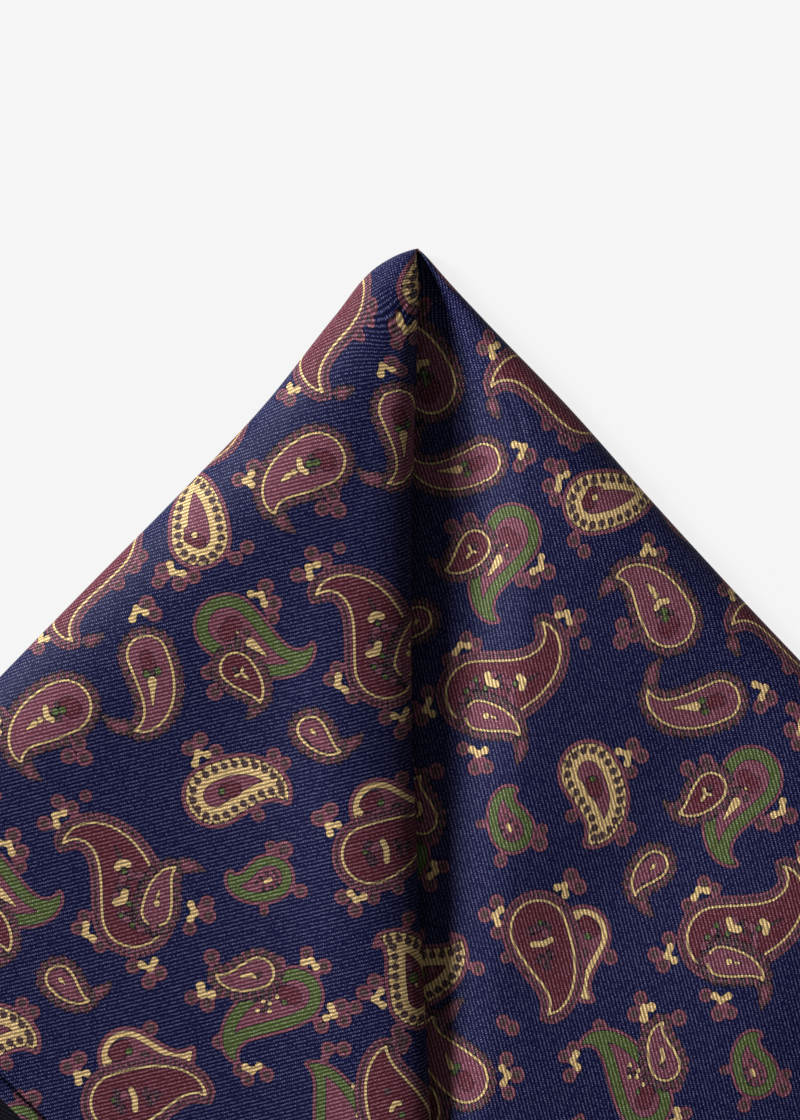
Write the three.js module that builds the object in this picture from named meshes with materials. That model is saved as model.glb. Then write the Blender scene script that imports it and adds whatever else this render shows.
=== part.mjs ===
// A silk pocket square, folded to one peak and laid flat.
//
// Millimetres, +Z up. The cloth lies on z = 0, its peak points along +Y and the origin is the
// middle of the underside. The square is folded in half, the middle of that fold is the peak,
// and a knife pleat takes in a quarter of the cloth on each face, so that every stretch that
// shows is half of a quarter: a right triangle from the peak down to the hem.

import * as THREE from 'three';

// ---- driving dimensions ---------------------------------------------------------------------

const SQUARE = 341;                       // finished side of the square
const LOBE = SQUARE / 2;                  // from the peak to a hem, along the folded edge
const WALL = 1.2;                         // wall of one stretch of cloth
const HEM_WALL = 1.6;                     // the turned hem is fatter
const HEM_WIDTH = 3.2;
const GAP = 0.3;                          // between neighbouring pieces
const BACK_WALL = 1.0;                    // the back half, pressed flat
const LEFT_EDGE_ANGLE = 226;              // degrees from +X, the folded edge of the left lobe
const RIGHT_EDGE_ANGLE = 313;             // the folded edge of the right lobe
const PEAK = { x: 1.079, y: 123.145 };    // the peak, measured from the middle of the underside
const FIRST_REACH = 0.012;                // where the first section lies, as a share of the lobe
const SECTIONS = 20;                      // sections along a lobe
const HEM_SECTIONS = 2;
const BACK_INSET = 6;                     // the back half starts this far inside a folded edge
const FOLD_LINE_CLEARANCE = GAP / 2;

// ---- tables ---------------------------------------------------------------------------------

/** Gives each row of a table its columns' names. */
function tabled(columns, rows) {
  return rows.map((row) => Object.fromEntries(columns.map((name, i) => [name, row[i]])));
}

// The left lobe, a row for each section, in millimetres. reach: share of the way from the peak
// to the hem. bulge: how far the folded edge stands out from its straight line. shoulder,
// shoulderWidth: height and width of the rounding along the folded edge. dip: how far the
// middle sinks. crest, roll: height of the centre fold and width of its rounding. lip: height
// of the cloth turned back under it. sway: how far the fold lies from its straight line.
const LEFT_COLUMNS = [
  'reach', 'bulge', 'shoulder', 'shoulderWidth', 'dip',
  'crest', 'roll', 'lip', 'sway',
];
const LEFT_SECTIONS = tabled(LEFT_COLUMNS, [
  [0.00, 0.8, 4.2, 1.2, 0.0, 5.0, 1.4, 2.3, 0.0],
  [0.05, 2.1, 5.6, 4.0, 0.0, 6.6, 4.5, 3.2, -0.2],
  [0.12, 1.1, 6.8, 8.0, 0.0, 8.6, 9.0, 4.4, -0.9],
  [0.25, 0.1, 8.2, 15.0, 0.1, 10.6, 15.0, 4.5, -2.4],
  [0.40, 0.0, 8.8, 18.0, 0.7, 11.4, 18.0, 4.5, -3.6],
  [0.55, 0.0, 8.4, 17.0, 1.3, 10.8, 15.0, 4.5, -2.6],
  [0.70, 0.0, 7.4, 15.0, 1.2, 9.6, 12.0, 4.5, -1.0],
  [0.85, 0.0, 6.6, 13.0, 0.8, 8.4, 10.0, 4.6, -0.3],
  [1.00, 0.0, 6.0, 12.0, 0.4, 7.6, 9.0, 4.8, 0.0],
]);

// The right lobe. ridge: height of the rise beside the centre fold. slope: width of the slope
// that runs from the ridge down to the fold. tuck: width of the level stretch tucked under the
// fold. floor: height of that stretch.
const RIGHT_COLUMNS = [
  'reach', 'bulge', 'shoulder', 'shoulderWidth', 'dip',
  'ridge', 'slope', 'tuck', 'floor',
];
const RIGHT_SECTIONS = tabled(RIGHT_COLUMNS, [
  [0.00, 0.2, 3.4, 1.0, 0.0, 3.4, 1.0, 0.3, 1.7],
  [0.05, 0.3, 4.4, 2.6, 0.0, 4.6, 3.6, 1.2, 2.8],
  [0.12, 0.0, 5.6, 6.0, 0.0, 6.2, 8.0, 2.4, 3.8],
  [0.25, 0.0, 6.6, 8.5, 0.1, 7.6, 14.0, 4.0, 3.9],
  [0.40, 0.0, 7.0, 10.0, 0.3, 8.8, 19.0, 5.5, 3.9],
  [0.55, 0.0, 6.8, 10.0, 0.7, 9.0, 20.0, 8.5, 3.9],
  [0.70, 0.0, 6.6, 10.0, 1.2, 8.6, 19.0, 12.0, 3.9],
  [0.85, 0.0, 6.4, 10.0, 0.8, 7.8, 18.0, 15.0, 4.0],
  [1.00, 0.0, 6.0, 10.0, 0.4, 7.0, 17.0, 17.5, 4.2],
]);

// The hidden layers step down at the hem, a row for each step: how far it reaches, and how far
// its top lies under the lobe above it.
const LAYER_STEPS = [
  { reach: 0.955, drop: 0.0 },
  { reach: 0.960, drop: 1.3 },
  { reach: 0.985, drop: 1.3 },
  { reach: 0.990, drop: 2.6 },
  { reach: 1.020, drop: 2.6 },
];

// ---- shared shape of a lobe -----------------------------------------------------------------

const EDGE_HEIGHT = 2.0;                  // the folded edge is this far up at its outermost line
const FULL_CURL = 4.5;                    // how far the edge curls under
const FULL_RETURN = 6.0;                  // how far the cloth turns back under the centre fold
const ARC_STEPS = 5;                      // points on a quarter of a rounding
const MIDDLE_STEPS = 7;
const SLOPE_SHARE = 0.4;                  // most of a short section that the slope may take
const NARROW = 9;                         // sections shorter than this have thinner, shorter turns
const TIP_LENGTH = 2.5;                   // the peak keeps turns and a wall of this length's size
const FOLD_OVERHANG = 0.4;                // the centre fold lies this far past its straight line
const ROLL_SHARE = 0.5;                   // most of a short section that the fold's roll may take
const LEAST_ROLL = 0.6;                   // and what it has even at the peak
const LEAST_SLOPE = 0.3;

const radians = THREE.MathUtils.degToRad;

/** Reads one column of a table at a reach, straight between its rows. */
function column(rows, name, reach) {
  const last = rows.length - 1;
  let row = 0;
  while (row < last - 1 && rows[row + 1].reach <= reach) row += 1;
  const [before, after] = [rows[row], rows[row + 1]];
  const t = THREE.MathUtils.clamp((reach - before.reach) / (after.reach - before.reach), 0, 1);
  return before[name] + (after[name] - before[name]) * t;
}

/** A quarter of an ellipse, from its outermost point (0) to its top (1). */
function quarter(width, height) {
  return Array.from({ length: ARC_STEPS + 1 }, (_, i) => {
    const turn = (i / ARC_STEPS) * Math.PI / 2;
    return [width * (1 - Math.cos(turn)), height * Math.sin(turn)];
  });
}

/** The folded edge: it curls up from the surface round the edge to the top of the shoulder. */
function foldedEdge(bulge, curl, shoulderWidth, shoulder) {
  const under = quarter(curl, EDGE_HEIGHT).map(([d, z]) => [d - bulge, EDGE_HEIGHT - z]).reverse();
  const over = quarter(shoulderWidth + bulge, shoulder - EDGE_HEIGHT)
    .map(([d, z]) => [d - bulge, EDGE_HEIGHT + z]);
  return [...under, ...over.slice(1)];
}

/** The stretch between two heights, level at both ends, with a dip in its middle. */
function middle(from, to, dip) {
  const points = [];
  for (let i = 1; i < MIDDLE_STEPS; i += 1) {
    const t = i / MIDDLE_STEPS;
    const blend = THREE.MathUtils.smoothstep(t, 0, 1);
    const sag = dip * Math.sin(Math.PI * t) ** 2;
    points.push([from[0] + (to[0] - from[0]) * t, from[1] + (to[1] - from[1]) * blend - sag]);
  }
  return points;
}

/** How large the turns and the wall are on a section of this length, as a share of full size. */
function sizeAt(length) {
  return Math.min(1, (length + TIP_LENGTH) / NARROW);
}

/** A lobe: its folded edge runs from the peak at an angle, and its hem leaves that edge square. */
function makeLobe(edgeAngle, hemTurn, rows, finish) {
  const edge = new THREE.Vector2(Math.cos(radians(edgeAngle)), Math.sin(radians(edgeAngle)));
  const hem = new THREE.Vector2(-edge.y, edge.x).multiplyScalar(hemTurn);
  const lobe = { edge, hem, mirrored: hemTurn < 0 };
  lobe.place = (reach, d, z) => new THREE.Vector3(
    PEAK.x + edge.x * reach * LOBE + hem.x * d,
    PEAK.y + edge.y * reach * LOBE + hem.y * d,
    z,
  );
  lobe.section = (reach) => {
    const read = (name) => column(rows, name, reach);
    const length = reach * LOBE;
    const size = sizeAt(length);
    const start = foldedEdge(read('bulge'), FULL_CURL * size, read('shoulderWidth'), read('shoulder'));
    return finish(start, length, size, read);
  };
  return lobe;
}

/** The left lobe's outer line: folded edge, middle, centre fold, and the return under it. */
function finishWithRoll(start, length, size, read) {
  const [crest, lip] = [read('crest'), read('lip')];
  const roll = Math.min(read('roll'), length * ROLL_SHARE + LEAST_ROLL);
  const end = length + read('sway') + FOLD_OVERHANG;
  const halfway = (crest + lip) / 2;
  const over = quarter(roll, crest - halfway).map(([d, z]) => [end - d, halfway + z]).reverse();
  const turned = Math.min(FULL_RETURN * size, roll);
  const under = quarter(turned, halfway - lip).map(([d, z]) => [end - d, halfway - z]);
  return [...start, ...middle(start.at(-1), over[0], read('dip')), ...over, ...under.slice(1)];
}

/** The right lobe's outer line: folded edge, middle, ridge, and the slope under the fold. */
function finishWithSlope(start, length, size, read) {
  const [ridge, floor, tuck] = [read('ridge'), read('floor'), read('tuck')];
  const foot = [length - tuck, floor];
  const top = [foot[0] - Math.min(read('slope'), length * SLOPE_SHARE + LEAST_SLOPE), ridge];
  const across = middle(start.at(-1), top, read('dip'));
  return [...start, ...across, top, ...middle(top, foot, 0), foot, [length, floor]];
}

/** Moves a line inwards by a wall, along the mean of the normals on both sides of each point. */
function inset(line, wall) {
  return line.map(([d, z], i) => {
    const [before, after] = [line[Math.max(i - 1, 0)], line[Math.min(i + 1, line.length - 1)]];
    const along = new THREE.Vector2(after[0] - before[0], after[1] - before[1]).normalize();
    return [d + along.y * wall, z - along.x * wall];
  });
}

/** Joins rings of points into one closed body, with a ladder of faces across both end rings. */
function loft(rings, mirrored) {
  const [count, half] = [rings[0].length, rings[0].length / 2];
  const positions = rings.flat().flatMap((point) => point.toArray());
  const faces = [];
  const quad = (a, b, c, d) => faces.push(...(mirrored ? [a, b, c, a, c, d] : [a, c, b, a, d, c]));
  for (let ring = 0; ring < rings.length - 1; ring += 1) {
    for (let i = 0; i < count; i += 1) {
      const [a, b] = [ring * count + i, ring * count + ((i + 1) % count)];
      quad(a, b, b + count, a + count);
    }
  }
  const last = (rings.length - 1) * count;
  for (let i = 0; i < half - 1; i += 1) {
    const [outer, inner] = [i, count - 1 - i];
    quad(outer, inner, inner - 1, outer + 1);
    quad(last + outer, last + outer + 1, last + inner - 1, last + inner);
  }
  const geometry = new THREE.BufferGeometry();
  geometry.setAttribute('position', new THREE.Float32BufferAttribute(positions, 3));
  geometry.setIndex(faces);
  geometry.computeVertexNormals();
  return geometry;
}

/** A wall of cloth over part of a lobe. */
function stretch(lobe, wall, from, to, sections) {
  const rings = Array.from({ length: sections + 1 }, (_, i) => {
    const reach = from + (to - from) * (i / sections);
    const thickness = wall * sizeAt(reach * LOBE);
    const outer = lobe.section(reach);
    const ring = [...outer, ...inset(outer, thickness).reverse()];
    return ring.map(([d, z]) => lobe.place(reach, d, z));
  });
  return loft(rings, lobe.mirrored);
}

/** The height of a lobe's outer line over a place on a section, taken on its upper side. */
function heightOver(line, place) {
  let height = 0;
  for (let i = 0; i < line.length - 1; i += 1) {
    const [[d0, z0], [d1, z1]] = [line[i], line[i + 1]];
    if (d1 > d0 && place >= d0 && place <= d1) height = z0 + ((z1 - z0) * (place - d0)) / (d1 - d0);
  }
  return height;
}

// ---- hidden layers --------------------------------------------------------------------------

const LAYER_START = 0.12;                 // the hidden layers start here, below the peak
const LAYER_SECTIONS = 16;
const LAYER_BASE = BACK_WALL + GAP;
const LAYER_MARGIN = 7.5;                 // they stop this far inside a folded edge
const LAYER_STEPS_ACROSS = 9;
const SLOPE_ALLOWANCE = 0.35;             // a wall measured straight down on a slope is thicker
const LAYER_CLEARANCE = WALL + GAP + SLOPE_ALLOWANCE;
const MARGIN_SHARE = 0.35;                // most of a short section that the margin may take
const UNDER_FOLD = 6.5;                   // clear of the cloth turned back under the fold
const TUCK_SPREAD = 13;                   // and of the tucked stretch, which widens to the hem
const FOLD_SHARE = 0.55;                  // most of a short section that the fold's room may take
const FOOT_SHARE = 0.2;                   // the layers' lowest line, from the left part to the right
const THIN_LAYER = 0.8;

/** One side of the hidden layers' upper line on a section, from the folded edge inwards. */
function layerTops(lobe, reach, drop, until) {
  const line = lobe.section(Math.min(reach, 1));
  const from = Math.min(LAYER_MARGIN, reach * LOBE * MARGIN_SHARE);
  return Array.from({ length: LAYER_STEPS_ACROSS + 1 }, (_, i) => {
    const d = from + (until - from) * (i / LAYER_STEPS_ACROSS);
    const top = Math.max(heightOver(line, d) - LAYER_CLEARANCE - drop, LAYER_BASE + THIN_LAYER);
    return lobe.place(reach, d, top);
  });
}

/** The hidden layers: rows bent at the centre line, level below, following the lobes above. */
function hiddenLayers(left, right) {
  const straight = Array.from({ length: LAYER_SECTIONS }, (_, i) => ({
    reach: LAYER_START + (LAYER_STEPS[0].reach - LAYER_START) * (i / LAYER_SECTIONS),
    drop: 0,
  }));
  const rings = [...straight, ...LAYER_STEPS].map(({ reach, drop }) => {
    const length = reach * LOBE;
    const tucked = reach * TUCK_SPREAD;
    const leftEnd = length - Math.min(UNDER_FOLD + tucked, length * FOLD_SHARE);
    const leftTops = layerTops(left, reach, drop, leftEnd);
    const rightTops = layerTops(right, reach, drop, length - GAP).reverse();
    const foot = leftTops.at(-1).clone().lerp(rightTops[0], FOOT_SHARE).setZ(LAYER_BASE + THIN_LAYER);
    const tops = [...leftTops, foot, ...rightTops];
    const bottoms = tops.map((point) => point.clone().setZ(LAYER_BASE)).reverse();
    return [...tops, ...bottoms];
  });
  return loft(rings, false);
}

// ---- the back half --------------------------------------------------------------------------

const BACK_START = 0.09;                  // its peak lies this far down, as a share of the lobe
const INSET_SHARE = 0.5;                  // most of a short section that the inset may take

/** A flat triangle of cloth on the surface, or the hem strip along its end. */
function backStretch(lobe, from, to, wall) {
  const corners = [
    [from, Math.min(BACK_INSET, from * LOBE * INSET_SHARE)],
    [from, from * LOBE],
    [to, to * LOBE],
    [to, BACK_INSET],
  ].map(([reach, d]) => lobe.place(reach, d, 0));
  corners.forEach((corner) => {
    const limit = lobe.mirrored ? Math.max : Math.min;
    corner.x = limit(corner.x, PEAK.x + (lobe.mirrored ? 1 : -1) * FOLD_LINE_CLEARANCE);
  });
  const outline = new THREE.Shape(corners.map(({ x, y }) => new THREE.Vector2(x, y)));
  return new THREE.ExtrudeGeometry(outline, { depth: wall, bevelEnabled: false });
}

// ---- assembly -------------------------------------------------------------------------------

const leftLobe = makeLobe(LEFT_EDGE_ANGLE, 1, LEFT_SECTIONS, finishWithRoll);
const rightLobe = makeLobe(RIGHT_EDGE_ANGLE, -1, RIGHT_SECTIONS, finishWithSlope);
const HEM_START = 1 - HEM_WIDTH / LOBE;
const PANEL_END = HEM_START - GAP / LOBE;

const SILK_ROUGHNESS = 0.55;
const WRONG_SIDE_ROUGHNESS = 0.7;
const NAVY = 0x1c1f45;
const NAVY_HEM = 0x2a2c55;
const DULL_NAVY = 0x2b2a36;

/** Makes a cloth material for one sub-part. */
function cloth(color, roughness) {
  return new THREE.MeshStandardMaterial({ color, roughness, metalness: 0 });
}

const object = new THREE.Group();

/** Adds a named sub-part. */
function add(name, geometry, color, roughness = SILK_ROUGHNESS) {
  const mesh = new THREE.Mesh(geometry, cloth(color, roughness));
  mesh.name = name;
  object.add(mesh);
}

for (const [side, lobe] of [['left', leftLobe], ['right', rightLobe]]) {
  add(`front_${side}_lobe`, stretch(lobe, WALL, FIRST_REACH, PANEL_END, SECTIONS), NAVY);
  add(`front_${side}_hem`, stretch(lobe, HEM_WALL, HEM_START, 1, HEM_SECTIONS), NAVY_HEM);
  add(`back_${side}_lobe`, backStretch(lobe, BACK_START, PANEL_END, BACK_WALL), NAVY);
  add(`back_${side}_hem`, backStretch(lobe, HEM_START, 1, BACK_WALL), NAVY_HEM);
}
add('folded_layers', hiddenLayers(leftLobe, rightLobe), DULL_NAVY, WRONG_SIDE_ROUGHNESS);

export default object;
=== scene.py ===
"""A printed silk pocket square, folded to one peak and laid flat.

The square is folded in half, the middle of that fold is the peak, and a knife pleat takes in a
quarter of the cloth on each face. Every stretch that shows is a right triangle from the peak to
a hem. Each stretch is worked out from sections parallel to its hem; the print is a chart of
paisley figures, each drawn by formula as signed distances in the cloth's own flat measure.
"""

import logging
import math
from dataclasses import dataclass, field
from enum import Enum, IntEnum

import bpy
import numpy as np
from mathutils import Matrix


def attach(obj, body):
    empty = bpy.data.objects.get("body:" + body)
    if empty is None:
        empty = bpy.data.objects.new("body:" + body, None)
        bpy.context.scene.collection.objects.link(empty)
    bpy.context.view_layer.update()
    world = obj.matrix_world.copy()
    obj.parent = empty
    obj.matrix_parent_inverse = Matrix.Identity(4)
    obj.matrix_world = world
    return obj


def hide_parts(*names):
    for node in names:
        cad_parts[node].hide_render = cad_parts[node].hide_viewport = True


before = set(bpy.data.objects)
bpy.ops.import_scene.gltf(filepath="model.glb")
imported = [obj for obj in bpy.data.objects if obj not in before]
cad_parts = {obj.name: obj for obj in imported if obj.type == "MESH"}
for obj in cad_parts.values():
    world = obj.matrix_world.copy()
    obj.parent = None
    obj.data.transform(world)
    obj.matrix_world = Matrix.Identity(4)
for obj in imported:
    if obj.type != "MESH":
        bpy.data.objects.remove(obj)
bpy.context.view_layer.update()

logging.basicConfig(level=logging.INFO, format="%(message)s")
log = logging.getLogger("pocket_square")

Array = np.ndarray
Point = tuple[float, float]

# ---- driving sizes, in millimetres -------------------------------------------------------------

SQUARE = 341.0  # finished side of the square
LOBE = SQUARE / 2  # from the peak to a hem, along the folded edge
HEM_WIDTH = 3.2
PEAK = (1.079, 123.145)  # the peak, measured from the middle of the underside
LEFT_EDGE_ANGLE = 226.0  # degrees from +X, the folded edge of the left lobe
RIGHT_EDGE_ANGLE = 313.0
EDGE_HEIGHT = 2.0  # the folded edge is this far up at its outermost line
CURL = 4.5  # how far a folded edge curls under
TURNED_BACK = 6.0  # how far the cloth turns back under the centre fold
FOLD_PAST = 0.4  # the centre fold lies this far past its straight line
CREASE_FADE = 4.0  # creases fade in over this height above the folded edges
CLOTH = 0.3  # thickness of one stretch of silk as it lies, a little over its true thickness
FOLD_SHARE = 0.35  # the centre fold's outermost line lies this far up its height
NARROW = 9.0  # sections shorter than this have shorter turns
NOSE = 4.0  # the peak is rounded over this length
NOSE_HEIGHT = 1.5  # its very tip lies this far up
COARSE = 8  # the hidden face has a point for this many on the face that shows

# the most of a short section that its parts take
SHOULDER_SHARE = 0.8  # the rounding beside the folded edge
ROLL_SHARE = 0.5  # the rounding over the centre fold
FOOT_SHARE = 0.3  # what is left of the right lobe beside the stretch under the left one
SLOPE_SHARE = 0.6  # the slope, as a share of what is left

BACK_START = 15.3  # the back half's peak lies this far down, along the folded edge
BACK_INSET = 6.0  # and its sides this far in
RIGHT_LONGER = 3.0  # the right lobe's hem lies this much further from the peak than the left one's
FOLD_GAP = 0.15  # the two back stretches stop this far from the centre line

MM = 0.001

MATH = "ShaderNodeMath"
MULTIPLY_ADD = {"operation": "MULTIPLY_ADD"}
SMOOTH = {"interpolation_type": "SMOOTHSTEP"}  # a smooth change between two limits


def linear(code: str) -> tuple[float, float, float, float]:
    """Turns an sRGB hex colour to linear light.

    Args:
        code: The colour as "#RRGGBB".

    Returns:
        Red, green, blue and an alpha of 1.
    """
    parts = [int(code[i : i + 2], 16) / 255 for i in (1, 3, 5)]
    light = [c / 12.92 if c <= 0.04045 else ((c + 0.055) / 1.055) ** 2.4 for c in parts]
    return (*light, 1.0)


# ---- the fold ----------------------------------------------------------------------------------

# reach: share of the way from the peak to the hem. bulge: how far the folded edge stands out
# from its straight line. shoulder, shoulder_width: height and width of the rounding along the
# folded edge. dip: how far the middle sinks.
# Left: crest, roll: height of the centre fold and width of its rounding. lip: height of the
# cloth turned back under the fold. sway: how far the fold lies from its straight line.
LEFT_COLUMNS = ("reach", "bulge", "shoulder", "shoulder_width", "dip", "crest", "roll", "lip", "sway")
LEFT_SECTIONS = (
    (0.000, 0.8, 4.6, 1.2, 0.0, 4.6, 1.2, 2.0, 0.0),
    (0.048, 3.2, 6.8, 4.6, 0.0, 6.5, 3.2, 2.4, -0.3),
    (0.116, 2.4, 8.6, 9.0, 0.0, 8.5, 7.0, 2.8, -1.4),
    (0.242, 0.3, 10.1, 17.0, 0.0, 9.8, 13.0, 3.4, -3.1),
    (0.387, 0.1, 10.2, 21.0, 0.3, 10.4, 16.0, 3.8, -3.8),
    (0.532, 0.4, 9.2, 20.0, 1.0, 10.2, 15.0, 4.1, -2.7),
    (0.678, 0.5, 8.0, 16.0, 1.2, 9.4, 12.0, 4.2, -0.8),
    (0.823, 0.2, 7.0, 14.0, 0.8, 8.4, 10.0, 4.3, -0.2),
    (1.000, 0.2, 6.2, 13.0, 0.4, 7.6, 9.0, 4.3, 0.0),
)

# Right: ridge: height of the rise beside the centre fold. slope: width of the slope from the
# ridge down to the fold. tuck, floor: width and height of the level stretch under the fold.
RIGHT_COLUMNS = ("reach", "bulge", "shoulder", "shoulder_width", "dip", "ridge", "slope", "tuck", "floor")
RIGHT_SECTIONS = (
    (0.000, 0.5, 3.4, 1.0, 0.0, 3.2, 1.0, 0.2, 1.4),
    (0.048, 0.2, 3.5, 2.0, 0.0, 3.1, 2.2, 5.4, 1.4),
    (0.116, 0.2, 4.5, 4.0, 0.0, 4.1, 5.4, 11.8, 1.6),
    (0.242, 0.6, 5.9, 8.5, 0.0, 5.6, 14.0, 16.5, 2.2),
    (0.387, 0.0, 6.4, 10.0, 0.0, 6.3, 18.0, 16.5, 2.7),
    (0.532, -0.2, 6.3, 10.0, 0.4, 6.1, 21.0, 12.0, 3.1),
    (0.678, 0.0, 6.2, 10.0, 0.7, 6.0, 21.0, 9.5, 3.3),
    (0.823, 0.0, 6.0, 10.0, 0.6, 6.2, 18.0, 9.0, 3.5),
    (1.000, 0.0, 5.6, 10.0, 0.3, 5.8, 17.0, 9.0, 3.6),
)


@dataclass(frozen=True)
class Table:
    """A short table of sections with named columns, read smoothly between its rows."""

    columns: tuple[str, ...]
    rows: tuple[tuple[float, ...], ...]

    def read(self, name: str, reach: Array) -> Array:
        """Reads one column, by a cubic between rows with the mean slope at each row.

        Args:
            name: The column.
            reach: Shares of the way from the peak to the hem.

        Returns:
            The column's values, one for each reach.
        """
        grid = np.array(self.rows)
        x, y = grid[:, 0], grid[:, self.columns.index(name)]
        slopes = np.gradient(y, x)
        k = np.clip(np.searchsorted(x, reach, side="right") - 1, 0, len(x) - 2)
        step = x[k + 1] - x[k]
        t = np.clip((reach - x[k]) / step, 0, 1)
        rise = y[k + 1] - y[k]
        first = slopes[k] * step * t * (1 - t) ** 2
        last = slopes[k + 1] * step * t**2 * (1 - t)
        return y[k] + rise * t**2 * (3 - 2 * t) + first - last


@dataclass(frozen=True)
class Crease:
    """A soft trough or ridge across a stretch: a hump along a line, faded out at both ends."""

    start: Point  # from the peak: right, and up
    end: Point
    height: float  # below zero for a trough
    width: float
    past: float = 0.3  # it fades out over this share of its length inside and outside each end

    def lift(self, x: Array, y: Array) -> Array:
        """Height at each place: a bell across the line times a smooth rise and fall along it.

        Args:
            x: Places to the right of the peak.
            y: Places above the peak.

        Returns:
            The height that the crease adds.
        """
        along = np.subtract(self.end, self.start)
        length = float(np.hypot(*along))
        unit = along / length
        px, py = x - self.start[0], y - self.start[1]
        t = (px * unit[0] + py * unit[1]) / length
        across = -px * unit[1] + py * unit[0]
        ends = np.minimum(t, 1 - t) + self.past
        fade = np.clip(ends / (2 * self.past), 0, 1)
        fade = fade**2 * (3 - 2 * fade)
        return self.height * fade * np.exp(-((across / self.width) ** 2))


CREASES = (
    Crease((-18.0, -62.0), (-13.0, -140.0), 0.7, 7.0),
    Crease((-62.0, -96.0), (-30.0, -92.0), -0.5, 16.0),
    Crease((-60.0, -70.0), (-22.0, -42.0), 0.5, 8.0),
    Crease((60.0, -86.0), (26.0, -138.0), -1.3, 13.0),
    Crease((22.0, -30.0), (34.0, -62.0), 0.6, 9.0),
    Crease((74.0, -120.0), (58.0, -160.0), 1.2, 14.0),
    Crease((-80.0, -118.0), (-40.0, -150.0), 0.6, 12.0),
)


def quarter(width: Array, height: Array, steps: int) -> tuple[Array, Array]:
    """A quarter of an ellipse, from its outermost point to its top.

    Args:
        width: How far in the top lies, a value for each section.
        height: How far up the top lies.
        steps: Points along it.

    Returns:
        Distances inwards and upwards, a row for each section.
    """
    turn = np.linspace(0, math.pi / 2, steps)[None, :]
    return width[:, None] * (1 - np.cos(turn)), height[:, None] * np.sin(turn)


def crossing(d0: Array, z0: Array, d1: Array, z1: Array, dip: Array, steps: int) -> tuple[Array, Array]:
    """A stretch between two heights, level at both ends, that sags in its middle.

    Args:
        d0: Distance of its start, a value for each section.
        z0: Height of its start.
        d1: Distance of its end.
        z1: Height of its end.
        dip: How far its middle sinks.
        steps: Points along it.

    Returns:
        Distances and heights, a row for each section.
    """
    t = np.linspace(0, 1, steps)[None, :]
    blend = t**2 * (3 - 2 * t)
    d = d0[:, None] + (d1 - d0)[:, None] * t
    return d, z0[:, None] + (z1 - z0)[:, None] * blend - dip[:, None] * np.sin(math.pi * t) ** 2


class Side(Enum):
    """The two lobes, each with its folded edge's angle and the way its hem leaves that edge."""

    LEFT = (LEFT_EDGE_ANGLE, 1)
    RIGHT = (RIGHT_EDGE_ANGLE, -1)


@dataclass(frozen=True)
class Pull:
    """A place where the folding has drawn the cloth out of square.

    What shows near it is the cloth that lies (along, across) further on in the flat square, times
    e to the power of minus the squared distance over the squared spread.
    """

    cut: float  # from the peak along the folded edge, and from that edge inwards
    run: float
    spread: float
    along: float
    across: float


@dataclass(frozen=True)
class Lay:
    """How the print lies on a lobe: turned a little, pulled on the bias, and moved."""

    turn: float  # degrees from the folded edge to the print's thread line
    stretch: Point  # the print's measure for one of the cloth's, along the edge and across it
    shear: float
    move: Point
    pulls: tuple[Pull, ...] = ()

    def read(self, cut: Array, run: Array) -> Array:
        """Turns distances along and across the folded edge into the print's measure.

        Args:
            cut: Distance along the folded edge, negative on the right lobe.
            run: Length of cloth from the folded edge.

        Returns:
            The print's measure, with a last axis of two.
        """
        along, across = np.zeros_like(run), np.zeros_like(run)
        for pull in self.pulls:
            gap = (np.abs(cut) - pull.cut) ** 2 + (run - pull.run) ** 2
            fade = np.exp(-gap / pull.spread**2)
            along, across = along + fade * pull.along, across + fade * pull.across
        cut, run = cut + np.where(cut < 0, -along, along), run + across
        c, s = math.cos(math.radians(self.turn)), math.sin(math.radians(self.turn))
        u, v = cut * c - run * s, cut * s + run * c
        along = self.stretch[0] * u + self.shear * v + self.move[0]
        return np.stack([along, self.stretch[1] * v + self.move[1]], axis=-1)


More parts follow.
